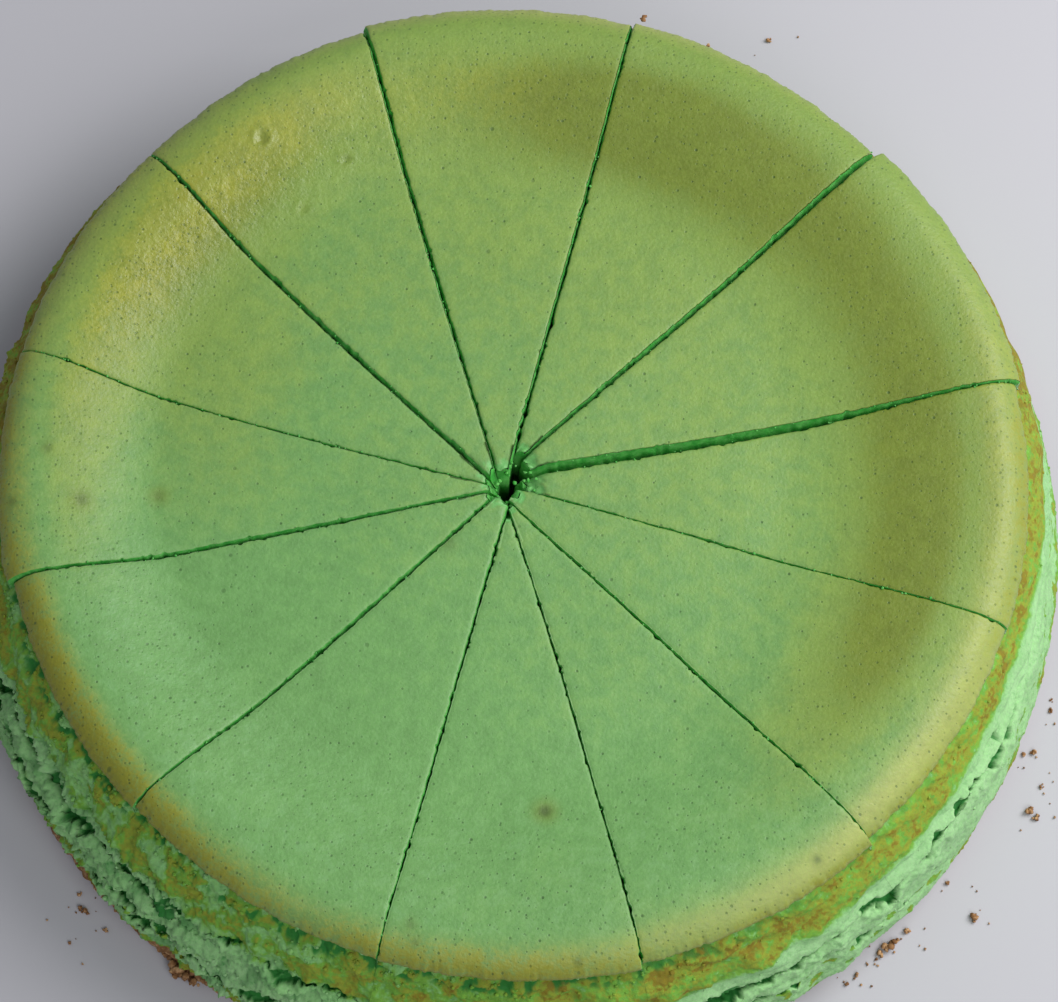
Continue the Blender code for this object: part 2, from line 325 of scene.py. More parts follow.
@dataclass
class Skin:
    """Vertices, faces and per-vertex values of one mesh while it is put together, in millimetres."""

    points: list[np.ndarray] = field(default_factory=list)
    faces: list[tuple[int, ...]] = field(default_factory=list)
    kinds: list[int] = field(default_factory=list)
    values: dict[str, list[np.ndarray]] = field(default_factory=dict)
    count: int = 0

    def add(self, points: np.ndarray, **values: np.ndarray | float) -> np.ndarray:
        """Adds a row of vertices.

        Args:
            points: (n, 3) places.
            values: named per-vertex values; a name left out reads 0.

        Returns:
            The vertices' numbers.
        """
        for name in set(values) | set(self.values):
            rows = self.values.setdefault(name, [np.zeros(self.count)] if self.count else [])
            rows.append(np.broadcast_to(np.asarray(values.get(name, 0.0), float), (len(points),)))
        self.points.append(np.asarray(points, float))
        numbers = np.arange(self.count, self.count + len(points))
        self.count += len(points)
        return numbers

    def face(self, corners: Sequence[int], kind: int) -> None:
        """Adds one face of the given material."""
        self.faces.append(tuple(int(corner) for corner in corners))
        self.kinds.append(kind)

    def strip(self, first: np.ndarray, second: np.ndarray, kind: int) -> None:
        """Fills between two rows of the same length."""
        quads = np.stack([first[:-1], first[1:], second[1:], second[:-1]], axis=1)
        self.faces.extend(map(tuple, quads.tolist()))
        self.kinds.extend([kind] * len(quads))

    def zip_up(self, first: np.ndarray, second: np.ndarray, places: tuple[np.ndarray, np.ndarray], kind: int) -> None:
        """Fills between two rows of any lengths.

        Args:
            first: vertex numbers of one row.
            second: vertex numbers of the other.
            places: where each vertex lies along its row, from 0 to 1.
            kind: material of the faces.
        """
        a, b = places
        i, j = 0, 0
        while i < len(first) - 1 or j < len(second) - 1:
            ahead_first = a[i + 1] if i < len(first) - 1 else math.inf
            ahead_second = b[j + 1] if j < len(second) - 1 else math.inf
            if ahead_first <= ahead_second:
                self.face((first[i], first[i + 1], second[j]), kind)
                i += 1
            else:
                self.face((first[i], second[j + 1], second[j]), kind)
                j += 1

    def to_object(self, name: str, materials: Sequence[bpy.types.Material]) -> bpy.types.Object:
        """Makes the object, in metres, with its faces pointing out and its values as attributes."""
        mesh = bpy.data.meshes.new(name)
        mesh.from_pydata((np.concatenate(self.points) * MM).tolist(), [], self.faces)
        for material in materials:
            mesh.materials.append(material)
        mesh.polygons.foreach_set("material_index", self.kinds)
        for label, rows in self.values.items():
            attribute = mesh.attributes.new(label, "FLOAT", "POINT")
            attribute.data.foreach_set("value", np.concatenate(rows).astype(np.float32))
        mesh.validate()
        face_out(mesh)
        mesh.shade_smooth()
        part_sharply(mesh)
        return put_in_scene(name, mesh)


def face_out(mesh: bpy.types.Mesh) -> None:
    """Turns every face of a closed mesh outwards, if its volume comes out negative."""
    mesh.calc_loop_triangles()
    places = np.empty(len(mesh.vertices) * 3, np.float32)
    mesh.vertices.foreach_get("co", places)
    corners = np.empty(len(mesh.loop_triangles) * 3, np.int32)
    mesh.loop_triangles.foreach_get("vertices", corners)
    triangles = places.reshape(-1, 3).astype(float)[corners.reshape(-1, 3)]
    if np.einsum("ij,ij->i", triangles[:, 0], np.cross(triangles[:, 1], triangles[:, 2])).sum() < 0.0:
        mesh.flip_normals()


def part_sharply(mesh: bpy.types.Mesh) -> None:
    """Makes the edges between a wall and a cut face sharp, so that no shade line shows where slices meet."""
    kinds = np.empty(len(mesh.polygons), np.int32)
    mesh.polygons.foreach_get("material_index", kinds)
    sizes = np.empty(len(mesh.polygons), np.int32)
    mesh.polygons.foreach_get("loop_total", sizes)
    edges = np.empty(len(mesh.loops), np.int32)
    mesh.loops.foreach_get("edge_index", edges)
    of_loop = np.repeat(kinds, sizes)
    lowest = np.full(len(mesh.edges), 99)
    highest = np.zeros(len(mesh.edges), int)
    np.minimum.at(lowest, edges, of_loop)
    np.maximum.at(highest, edges, of_loop)
    sharp = (lowest == Part.WALL.value) & (highest == Part.CUT.value)
    mesh.attributes.new("sharp_edge", "BOOLEAN", "EDGE").data.foreach_set("value", sharp)


# Shader building


class Graph:
    """A node tree with short ways to add and join nodes."""

    def __init__(self, tree: bpy.types.NodeTree) -> None:
        """Wraps a tree."""
        self.tree = tree

    def add(self, kind: str, settings: dict | None = None, **inputs: object) -> bpy.types.Node:
        """Adds a node.

        Args:
            kind: the node's type name.
            settings: its properties.
            inputs: values or sockets by input name, with spaces written as underscores.

        Returns:
            The node.
        """
        node = self.tree.nodes.new(kind)
        for name, value in (settings or {}).items():
            setattr(node, name, value)
        for name, value in inputs.items():
            self.feed(node, name.replace("_", " "), value)
        return node

    def feed(self, node: bpy.types.Node, name: str | int, value: object) -> None:
        """Joins a socket to an input, or sets the input to a value."""
        socket = node.inputs[name]
        if isinstance(value, bpy.types.NodeSocket):
            self.tree.links.new(value, socket)
        else:
            socket.default_value = value

    def math(self, operation: str, *values: object, clamp: bool = False) -> bpy.types.NodeSocket:
        """Result of a Math node."""
        node = self.add("ShaderNodeMath", {"operation": operation, "use_clamp": clamp})
        for number, value in enumerate(values):
            self.feed(node, number, value)
        return node.outputs[0]

    def total(self, *terms: object) -> bpy.types.NodeSocket:
        """Sum of several terms, each a number, a socket, or a pair of one and its weight."""
        parts = [self.math("MULTIPLY", *term) if isinstance(term, tuple) else term for term in terms]
        result = parts[0]
        for part in parts[1:]:
            result = self.math("ADD", result, part)
        return result

    def centred(self, node: bpy.types.Node, *names: str) -> list[bpy.types.NodeSocket]:
        """Outputs of a node, moved down to lie about 0."""
        return [self.math("SUBTRACT", node.outputs[name], 0.5) for name in names]

    def toned(self, colour: object, tone: object) -> bpy.types.NodeSocket:
        """Colour made lighter or darker by a factor."""
        tint = self.add("ShaderNodeCombineColor", Red=tone, Green=tone, Blue=tone)
        return self.mix(1.0, colour, tint.outputs[0], "MULTIPLY")

    def dress(self, shader: bpy.types.Node, colour: object, roughness: object, bump: bpy.types.Node) -> None:
        """Joins a shader to its colour, its roughness and its fine relief."""
        self.feed(shader, "Base Color", colour)
        self.feed(shader, "Roughness", roughness)
        self.feed(shader, "Normal", bump.outputs["Normal"])

    def ramp(
        self, value: object, low: float, high: float, start: float = 0.0, end: float = 1.0
    ) -> bpy.types.NodeSocket:
        """Smooth change from start to end as a value goes from low to high."""
        node = self.add("ShaderNodeMapRange", {"interpolation_type": "SMOOTHSTEP"})
        for name, number in (("From Min", low), ("From Max", high), ("To Min", start), ("To Max", end)):
            node.inputs[name].default_value = number
        self.feed(node, "Value", value)
        return node.outputs["Result"]

    def mix(self, factor: object, first: object, second: object, blend: str = "MIX") -> bpy.types.NodeSocket:
        """Colour mixed from two."""
        node = self.add("ShaderNodeMix", {"data_type": "RGBA", "blend_type": blend})
        self.feed(node, 0, factor)
        for slot, colour in ((6, first), (7, second)):
            self.feed(node, slot, colour if isinstance(colour, bpy.types.NodeSocket) else (*colour, 1.0))
        return node.outputs[2]

    def noise(self, where: object, scale: float, detail: float = 2.0, roughness: float = 0.5) -> bpy.types.NodeSocket:
        """Noise value, about 0.5."""
        node = self.add("ShaderNodeTexNoise", Vector=where, Scale=scale, Detail=detail, Roughness=roughness)
        return node.outputs["Fac"]

    def value(self, name: str) -> bpy.types.NodeSocket:
        """A per-vertex value of the mesh."""
        return self.add("ShaderNodeAttribute", {"attribute_name": name}).outputs["Fac"]

    def group(self, tree: bpy.types.NodeTree, **inputs: object) -> bpy.types.Node:
        """Places a shared node group."""
        node = self.tree.nodes.new("ShaderNodeGroup")
        node.node_tree = tree
        for name, value in inputs.items():
            self.feed(node, name.replace("_", " "), value)
        return node


def new_group(
    name: str, inputs: dict[str, float | None], outputs: Sequence[str]
) -> tuple[Graph, dict, bpy.types.Node]:
    """Starts a shader node group.

    Args:
        name: its name.
        inputs: input names with their values, None for a vector.
        outputs: names of the value outputs.

    Returns:
        The graph, the input sockets by name, and the output node.
    """
    tree = bpy.data.node_groups.new(name, "ShaderNodeTree")
    for label, value in inputs.items():
        kind = "NodeSocketVector" if value is None else "NodeSocketFloat"
        socket = tree.interface.new_socket(label, in_out="INPUT", socket_type=kind)
        if value is not None:
            socket.default_value = value
    for label in outputs:
        tree.interface.new_socket(label, in_out="OUTPUT", socket_type="NodeSocketFloat")
    graph = Graph(tree)
    entry = graph.add("NodeGroupInput")
    return graph, {label: entry.outputs[label] for label in inputs}, graph.add("NodeGroupOutput")


def make_specks() -> bpy.types.NodeTree:
    """Group: small round specks, one in some of the cells of a flat pattern."""
    graph, given, out = new_group("specks", {"Vector": None, "Scale": 300.0, "Size": 0.12, "Share": 0.5}, ("Mask",))
    voronoi = graph.add("ShaderNodeTexVoronoi", {"feature": "F1", "voronoi_dimensions": "2D"}, Vector=given["Vector"],
                        Scale=given["Scale"])
    chance = graph.add("ShaderNodeSeparateColor", Color=voronoi.outputs["Color"])
    size = graph.math("MULTIPLY", given["Size"], graph.math("ADD", chance.outputs["Green"], 0.35))
    inside = graph.math("SUBTRACT", 1.0, graph.math("DIVIDE", voronoi.outputs["Distance"], size), clamp=True)
    there = graph.math("LESS_THAN", chance.outputs["Red"], given["Share"])
    strength = graph.total((chance.outputs["Blue"], 0.6), 0.4)
    mask = graph.math("MULTIPLY", graph.math("MULTIPLY", graph.ramp(inside, 0.0, 0.6), there), strength)
    graph.feed(out, "Mask", mask)
    return graph.tree


def make_mottle() -> bpy.types.NodeTree:
    """Group: uneven colour, from cloudy to fine."""
    scales = {"Vector": None, "Cloud Scale": 40.0, "Grain Scale": 600.0}
    graph, given, out = new_group("mottle", scales, ("Cloud", "Grain"))
    cloud = graph.noise(given["Vector"], given["Cloud Scale"], 3.0, 0.6)
    grain = graph.noise(given["Vector"], given["Grain Scale"], 2.0, 0.6)
    graph.feed(out, "Cloud", graph.ramp(cloud, 0.3, 0.7))
    graph.feed(out, "Grain", graph.ramp(grain, 0.3, 0.7))
    return graph.tree


def make_crumb() -> bpy.types.NodeTree:
    """Group: fine relief of moist torn crumb."""
    graph, given, out = new_group("crumb", {"Vector": None, "Scale": 900.0}, ("Height", "Hollow"))
    coarse = graph.noise(given["Vector"], graph.math("MULTIPLY", given["Scale"], 0.4), 3.0, 0.65)
    fine = graph.noise(given["Vector"], given["Scale"], 3.0, 0.7)
    height = graph.total((coarse, 0.65), (fine, 0.35))
    graph.feed(out, "Height", height)
    graph.feed(out, "Hollow", graph.ramp(height, 0.5, 0.36))
    return graph.tree


@dataclass(frozen=True)
class Effects:
    """The shader groups that the finishes share."""

    specks: bpy.types.NodeTree
    mottle: bpy.types.NodeTree
    crumb: bpy.types.NodeTree


Colour = tuple[float, float, float]


class Part(Enum):
    """Kinds of surface on a slice's filling, in the order of its material slots."""

    TOP = 0
    WALL = 1
    CUT = 2


def start_finish(name: str) -> tuple[bpy.types.Material, Graph, bpy.types.NodeSocket]:
    """A new material with its graph and the object's own coordinates."""
    material = bpy.data.materials.new(name)
    material.use_nodes = True
    graph = Graph(material.node_tree)
    return material, graph, graph.add("ShaderNodeTexCoord").outputs["Object"]


def principled(material: bpy.types.Material, **plain: float | Colour) -> bpy.types.Node:
    """The material's shader node, with its plain values set on its own sockets."""
    shader = material.node_tree.nodes["Principled BSDF"]
    for name, value in plain.items():
        shader.inputs[name.replace("_", " ")].default_value = value
    return shader


@dataclass(frozen=True)
class BakedTop:
    """Satin baked skin: fresh green, browned to olive and gold, with dark pores; its pale yellow tint is partly painted
    sheen, and the browning of the right inner slope is partly painted shade.
    """

    fresh: Colour = (0.138, 0.318, 0.092)
    warm: Colour = (0.188, 0.298, 0.060)
    mint: Colour = (0.150, 0.320, 0.132)
    olive: Colour = (0.145, 0.200, 0.023)
    # Pale yellow of the roll, also painted on as sheen where the roll and the upper-left slope face the lamps.
    straw: Colour = (0.330, 0.375, 0.105)
    gold: Colour = (0.240, 0.292, 0.050)
    toast: Colour = (0.212, 0.224, 0.018)
    amber: Colour = (0.315, 0.312, 0.026)
    torn: Colour = (0.130, 0.400, 0.105)
    pore: Colour = (0.024, 0.072, 0.016)
    spot: Colour = (0.060, 0.105, 0.030)
    pore_depth: float = 1.2
    relief: float = 0.45
    relief_depth: float = 0.0003

    def build(self, effects: Effects) -> bpy.types.Material:
        """Makes the material."""
        material, graph, where = start_finish("baked_green_top")
        fine = graph.group(effects.mottle, Vector=where, Cloud_Scale=85.0, Grain_Scale=1500.0)
        broad = graph.group(effects.mottle, Vector=where, Cloud_Scale=28.0, Grain_Scale=330.0)
        cloud, grain = graph.centred(fine, "Cloud", "Grain")
        wide, blotch = graph.centred(broad, "Cloud", "Grain")
        cooked = graph.total(graph.value("browning"), (wide, 0.05), (blotch, 0.11), (cloud, 0.08))
        colour = graph.mix(graph.ramp(cooked, 0.0, 0.5), self.fresh, self.warm)
        colour = graph.mix(graph.ramp(cooked, 0.42, 1.0), colour, self.olive)
        fresh = graph.math("MULTIPLY", graph.ramp(cooked, 0.45, 0.10), graph.ramp(graph.value("share"), 0.45, 0.85))
        veined = graph.math("MULTIPLY", graph.ramp(broad.outputs["Grain"], 0.50, 1.0), fresh)
        colour = graph.mix(graph.math("MULTIPLY", veined, 0.32), colour, self.mint)
        # Pale yellow tint: partly the skin's own colour, partly painted sheen and light.
        colour = graph.mix(graph.math("MULTIPLY", graph.value("straw"), 0.85), colour, self.straw)
        uneven = graph.total((cloud, 0.40), (blotch, 0.50), (grain, 0.45))
        golden = graph.math("MULTIPLY", graph.value("amber"), graph.math("ADD", uneven, 1.0), clamp=True)
        colour = graph.mix(golden, colour, self.amber)
        edge = graph.math("MULTIPLY", graph.value("rim"), graph.math("ADD", uneven, 1.0))
        colour = graph.mix(graph.ramp(edge, 0.0, 0.75), colour, self.gold)
        colour = graph.mix(graph.ramp(edge, 0.35, 0.95), colour, self.toast)
        colour = graph.toned(colour, graph.total((cloud, 0.07), (blotch, 0.13), (grain, 0.09), 1.0))
        near_rim = graph.ramp(graph.value("share"), 0.45, 0.95)
        small = graph.group(effects.specks, Vector=where, Scale=620.0, Size=0.18,
                            Share=graph.ramp(near_rim, 0.0, 1.0, 0.10, 0.50))
        middle = graph.group(effects.specks, Vector=where, Scale=330.0, Size=0.11,
                             Share=graph.ramp(near_rim, 0.0, 1.0, 0.08, 0.34))
        large = graph.group(effects.specks, Vector=where, Scale=95.0, Size=0.050, Share=0.12)
        pores = graph.math("MULTIPLY", small.outputs["Mask"], 0.55)
        pores = graph.math("MAXIMUM", pores, graph.math("MULTIPLY", middle.outputs["Mask"], 0.68))
        pores = graph.math("MAXIMUM", pores, graph.math("MULTIPLY", large.outputs["Mask"], 0.55))
        colour = graph.mix(pores, colour, self.pore)
        colour = graph.mix(graph.math("MULTIPLY", graph.value("halo"), 0.75), colour, self.olive)
        colour = graph.mix(graph.math("MULTIPLY", graph.value("spot"), 0.75), colour, self.spot)
        colour = graph.mix(graph.value("torn"), colour, self.torn)
        puckered = graph.ramp(graph.value("gloss"), 0.0, 1.0, 0.9, 2.3)
        grains, wrinkles = graph.noise(where, 1300.0, 2.0, 0.5), graph.noise(where, 420.0, 3.0, 0.55)
        relief = graph.total((grains, 0.9), (wrinkles, puckered))
        relief = graph.math("SUBTRACT", relief, graph.math("MULTIPLY", pores, self.pore_depth))
        bump = graph.add("ShaderNodeBump", Strength=self.relief, Distance=self.relief_depth, Height=relief)
        shader = principled(material, Specular_IOR_Level=0.5, IOR=1.45, Subsurface_Weight=0.10,
                            Subsurface_Radius=(0.5, 1.0, 0.35), Subsurface_Scale=0.003)
        rough = graph.math("MULTIPLY", graph.ramp(fine.outputs["Grain"], 0.0, 1.0, 0.42, 0.56),
                           graph.ramp(graph.value("gloss"), 0.0, 1.0, 1.0, 0.70))
        graph.dress(shader, colour, rough, bump)
        return material


@dataclass(frozen=True)
class TornWall:
    """Torn crumb of the outer wall: mint and green, with olive and golden brown where the tin baked it; its hollows and
    crevices are darkened as painted shade, and its paleness is partly painted light.
    """

    light: Colour = (0.285, 0.515, 0.235)
    green: Colour = (0.226, 0.492, 0.174)
    bright: Colour = (0.152, 0.352, 0.042)
    # Dark green that the wall's hollows and crevices are darkened to, as painted shade.
    hollow_shade: Colour = (0.016, 0.175, 0.026)
    olive: Colour = (0.228, 0.288, 0.029)
    brown: Colour = (0.205, 0.168, 0.015)
    relief: float = 0.6
    relief_depth: float = 0.0005

    def build(self, effects: Effects) -> bpy.types.Material:
        """Makes the material."""
        material, graph, where = start_finish("torn_green_wall")
        mottle = graph.group(effects.mottle, Vector=where, Cloud_Scale=160.0, Grain_Scale=1100.0)
        patch = graph.group(effects.mottle, Vector=where, Cloud_Scale=300.0, Grain_Scale=700.0)
        crumb = graph.group(effects.crumb, Vector=where, Scale=1500.0)
        cloud, grain = graph.centred(mottle, "Cloud", "Grain")
        spread, dots = graph.centred(patch, "Cloud", "Grain")
        # Paler towards the light mint by the pale value, which is partly painted light on the lit side of the wall.
        pale = graph.math("ADD", graph.value("pale"), graph.math("MULTIPLY", cloud, 0.35), clamp=True)
        colour = graph.mix(pale, self.green, self.light)
        uneven = graph.total((spread, 0.9), (dots, 0.7))
        tan = graph.math("MULTIPLY", graph.value("tanned"), graph.math("ADD", uneven, 1.0))
        colour = graph.mix(graph.ramp(tan, 0.02, 0.30), colour, self.bright)
        colour = graph.mix(graph.ramp(tan, 0.34, 0.70), colour, self.olive)
        colour = graph.mix(graph.ramp(tan, 0.82, 1.25), colour, self.brown)
        colour = graph.toned(colour, graph.total((grain, 0.16), 1.0))
        # Painted shade: the crumb's fine hollows and the wall's hollows, crevices, pits and the band under the skin are
        # darkened to a dark green.
        colour = graph.mix(graph.math("MULTIPLY", crumb.outputs["Hollow"], 0.25), colour, self.hollow_shade)
        colour = graph.mix(graph.ramp(graph.value("hollow"), 0.10, 0.80, 0.0, 0.96), colour, self.hollow_shade)
        bump = graph.add("ShaderNodeBump", Strength=self.relief, Distance=self.relief_depth,
                         Height=crumb.outputs["Height"])
        shader = principled(material, Specular_IOR_Level=0.30, IOR=1.4, Subsurface_Weight=0.12,
                            Subsurface_Radius=(0.4, 1.0, 0.3), Subsurface_Scale=0.0025)
        graph.dress(shader, colour, graph.ramp(mottle.outputs["Grain"], 0.0, 1.0, 0.58, 0.80), bump)
        return material


@dataclass(frozen=True)
class CutFace:
    """Moist filling where the knife went through."""

    light: Colour = (0.120, 0.440, 0.095)
    green: Colour = (0.042, 0.320, 0.042)
    relief: float = 0.6
    relief_depth: float = 0.0004

    def build(self, effects: Effects) -> bpy.types.Material:
        """Makes the material."""
        material, graph, where = start_finish("cut_green_filling")
        mottle = graph.group(effects.mottle, Vector=where, Cloud_Scale=420.0, Grain_Scale=1300.0)
        crumb = graph.group(effects.crumb, Vector=where, Scale=1200.0)
        colour = graph.mix(mottle.outputs["Cloud"], self.green, self.light)
        bump = graph.add("ShaderNodeBump", Strength=self.relief, Distance=self.relief_depth,
                         Height=crumb.outputs["Height"])
        shader = principled(material, Specular_IOR_Level=0.30, IOR=1.4, Subsurface_Weight=0.30,
                            Subsurface_Radius=(0.4, 1.0, 0.3), Subsurface_Scale=0.004)
        graph.dress(shader, colour, graph.ramp(crumb.outputs["Height"], 0.3, 0.7, 0.62, 0.80), bump)
        return material


@dataclass(frozen=True)
class BiscuitCrumb:
    """Dull brown biscuit crumb of the base and of the loose crumbs."""

    dark: Colour = (0.150, 0.068, 0.026)
    brown: Colour = (0.310, 0.160, 0.068)
    pale: Colour = (0.520, 0.330, 0.170)
    relief: float = 0.7
    relief_depth: float = 0.0005

    def build(self, effects: Effects) -> bpy.types.Material:
        """Makes the material."""
        material, graph, where = start_finish("biscuit_crumb_finish")
        mottle = graph.group(effects.mottle, Vector=where, Cloud_Scale=260.0, Grain_Scale=1100.0)
        crumb = graph.group(effects.crumb, Vector=where, Scale=1300.0)
        colour = graph.mix(mottle.outputs["Cloud"], self.dark, self.brown)
        colour = graph.mix(graph.ramp(crumb.outputs["Height"], 0.46, 0.66), colour, self.pale)
        bump = graph.add("ShaderNodeBump", Strength=self.relief, Distance=self.relief_depth,
                         Height=crumb.outputs["Height"])
        shader = principled(material, Specular_IOR_Level=0.3)
        graph.dress(shader, colour, graph.ramp(mottle.outputs["Grain"], 0.0, 1.0, 0.75, 0.95), bump)
        return material


# Sub-assemblies


@dataclass(frozen=True)
class Patch:
    """A browned patch of the broad ring: where it lies and how strong it is."""

    angle: float
    half_angle: float
    share: float
    inner: float
    outer: float
    strength: float

    def at(self, theta: np.ndarray, share: np.ndarray) -> np.ndarray:
        """Browning at angles in radians and shares of the skin's radius."""
        inward = ease((share - self.share + self.inner) / self.inner)
        outward = 1.0 - ease((share - self.share) / self.outer)
        return self.strength * bell(theta, self.angle, self.half_angle) * inward * outward


@dataclass(frozen=True)
class Rim:
    """A stretch of the rolled edge that the oven coloured, from a share of the radius out."""

    angle: float
    half_angle: float
    start: float
    strength: float

    def at(self, theta: np.ndarray, share: np.ndarray) -> np.ndarray:
        """Colouring at angles in radians and shares of the skin's radius."""
        outward = ease((share - self.start) / (1.0 - self.start))
        return self.strength * bell(theta, self.angle, self.half_angle) * outward


@dataclass(frozen=True)
class Blemish:
    """A small mark on the top: a dark spot with an olive halo, or a shallow pock with a raised lip."""

    x: float
    y: float
    size: float
    dark: float
    halo: float
    dent: float

    def reach(self, x: np.ndarray, y: np.ndarray) -> np.ndarray:
        """Distance from the mark's middle, in units of its size."""
        return np.hypot(x - self.x, y - self.y) / self.size


BLEMISHES = (
    Blemish(9.7, -77.6, 1.5, 1.0, 0.9, 0.05),
    Blemish(-95.1, -13.9, 1.4, 0.6, 0.8, 0.05),
    Blemish(-78.8, -10.6, 1.3, 0.4, 0.7, 0.05),
    Blemish(-103.4, -3.0, 1.0, 0.6, 0.5, 0.05),
    Blemish(-110.0, -15.6, 1.0, 0.6, 0.5, 0.0),
    Blemish(-14.2, -18.3, 1.6, 0.4, 0.2, 0.0),
    Blemish(67.3, -86.2, 0.9, 0.8, 0.4, 0.05),
    Blemish(18.0, -110.3, 1.0, 0.5, 0.4, 0.0),
    Blemish(-17.2, -104.5, 1.0, 0.5, 0.3, 0.05),
    Blemish(-16.1, -107.9, 0.9, 0.4, 0.3, 0.05),
    Blemish(-62.3, 75.3, 1.5, 0.1, 0.4, 0.55),
    Blemish(-43.0, 72.7, 1.1, 0.2, 0.4, 0.40),
    Blemish(-52.0, 60.5, 1.2, 0.0, 0.3, 0.25),
)


@dataclass(frozen=True)
class Crevice:
    """A roughly level crack along part of the wall, whose width comes and goes."""

    height: float
    angle: float
    half_angle: float
    depth: float
    half_width: float
    least: float
    layer: int
    softness: float = 0.45
    broad_jag: float = 2.4
    broad_jag_length: float = 19.0
    jag: float = 1.7
    jag_length: float = 5.2
    fine_jag: float = 1.3
    fine_jag_length: float = 1.9
    pocket: float = 2.0
    pocket_length: float = 8.0
    small_pocket: float = 1.1
    small_pocket_length: float = 2.6
    lip_above: float = 0.7
    lip_width: float = 0.5
    shelf_below: float = 1.4
    shelf_width: float = 2.4

    def at(self, theta: np.ndarray, height: np.ndarray) -> tuple[np.ndarray, np.ndarray, np.ndarray]:
        """How far each wall point lies in the crevice, on its upper lip, and on the shelf under it.

        Args:
            theta: angles in radians.
            height: heights, measured as the crevice's own height is.

        Returns:
            Openings, lips and shelves, from 0 to 1.
        """
        jag = self.broad_jag * FORM.ring_noise(theta, 0.0, self.broad_jag_length, self.layer)
        jag = jag + self.jag * FORM.ring_noise(theta, 0.0, self.jag_length, self.layer)
        jag = jag + self.fine_jag * FORM.ring_noise(theta, height, self.fine_jag_length, self.layer)
        pocket = self.pocket * FORM.ring_noise(theta, 0.0, self.pocket_length, self.layer + 1)
        pocket = pocket + self.small_pocket * FORM.ring_noise(theta, 0.0, self.small_pocket_length, self.layer + 1)
        pocket = np.clip(0.45 + 0.55 * self.least + (1.0 - 0.6 * self.least) * pocket, self.least, 1.15)
        half = self.half_width * pocket
        off = height - self.height - jag
        there = ease(pocket / 0.3) * ease(2.0 * bell(theta, self.angle, self.half_angle))
        opening = ease((half - np.abs(off)) / self.softness + 0.5) * there
        lip = np.exp(-(((off - half - self.lip_above) / self.lip_width) ** 2)) * there
        shelf = ease(1.0 - np.abs(off + half + self.shelf_below) / self.shelf_width) * there * pocket
        return opening, lip, shelf


@dataclass(frozen=True)
class Browning:
    """Where the oven browned the top: more towards the back right, in patches, and along the edge; the patches on the
    right inner slope are browned further as painted shade, and the pale yellow marks of the roll are partly painted
    sheen.
    """

    base: float = 0.20
    lean: float = 0.40
    lean_angle: float = 60.0
    patches: tuple[Patch, ...] = (
        Patch(57.0, 45.0, 0.80, 0.24, 0.15, 0.62),
        Patch(84.0, 34.0, 0.80, 0.22, 0.11, 0.48),
        Patch(146.0, 42.0, 0.84, 0.22, 0.16, 0.82),
        Patch(184.0, 28.0, 0.86, 0.15, 0.10, 0.40),
        Patch(170.0, 42.0, 0.62, 0.25, 0.22, 0.24),
        # Browning of the right inner slope, made darker in part as painted shade where the slope faces away from the
        # light.
        Patch(4.0, 46.0, 0.80, 0.22, 0.14, 0.74),
        Patch(333.0, 32.0, 0.80, 0.20, 0.13, 0.55),
        Patch(305.0, 45.0, 0.97, 0.05, 0.10, 0.40),
        Patch(288.0, 56.0, 0.93, 0.30, 0.10, 0.10),
        Patch(150.0, 44.0, 0.975, 0.07, 0.10, 0.40),
        Patch(0.0, 44.0, 0.930, 0.06, 0.06, 0.35),
    )
    rims: tuple[Rim | Patch, ...] = (
        Rim(308.0, 50.0, 0.968, 0.62),
        Rim(358.0, 44.0, 0.890, 0.60),
        Rim(216.0, 56.0, 0.895, 1.00),
        Rim(268.0, 42.0, 0.905, 0.74),
        Rim(180.0, 30.0, 0.945, 0.80),
        Rim(150.0, 36.0, 0.950, 0.50),
        Patch(143.0, 24.0, 0.875, 0.06, 0.06, 0.60),
        Rim(85.0, 60.0, 0.975, 0.20),
    )
    straw_and_sheen_marks: tuple[Rim | Patch, ...] = (
        # Pale yellow marks of the roll and the upper-left slope: partly real colour, partly painted sheen and light
        # where these face the lamps.
        Rim(322.0, 56.0, 0.885, 1.30),
        Rim(8.0, 46.0, 0.915, 0.24),
        Rim(90.0, 56.0, 0.950, 1.00),
        Rim(148.0, 44.0, 0.905, 0.52),
        Patch(124.0, 24.0, 0.87, 0.11, 0.10, 0.46),
    )
    ambers: tuple[Patch, ...] = (
        Patch(146.0, 44.0, 0.87, 0.15, 0.09, 0.62),
        Patch(104.0, 26.0, 0.81, 0.14, 0.12, 0.22),
        Patch(186.0, 26.0, 0.97, 0.07, 0.08, 0.35),
        Patch(2.0, 44.0, 0.95, 0.06, 0.06, 0.22),
    )

    def at(self, theta: np.ndarray, share: np.ndarray) -> np.ndarray:
        """Browning of the broad top."""
        lean = self.base + self.lean * share * np.cos(theta - math.radians(self.lean_angle))
        return np.maximum(lean, 0.0) + sum(patch.at(theta, share) for patch in self.patches)

    def roll_at(self, theta: np.ndarray, share: np.ndarray) -> dict[str, np.ndarray]:
        """Colouring of the rolled edge ("rim"), a pale yellow tint of the roll and the upper-left slope that is partly
        painted sheen, and golden amber of the broad ring.
        """
        rim, straw, amber = (
            np.max([mark.at(theta, share) for mark in marks], axis=0) for marks in (self.rims, self.straw_and_sheen_marks, self.ambers)
        )
        return {"rim": rim, "straw": np.minimum(straw, 1.0), "amber": amber}


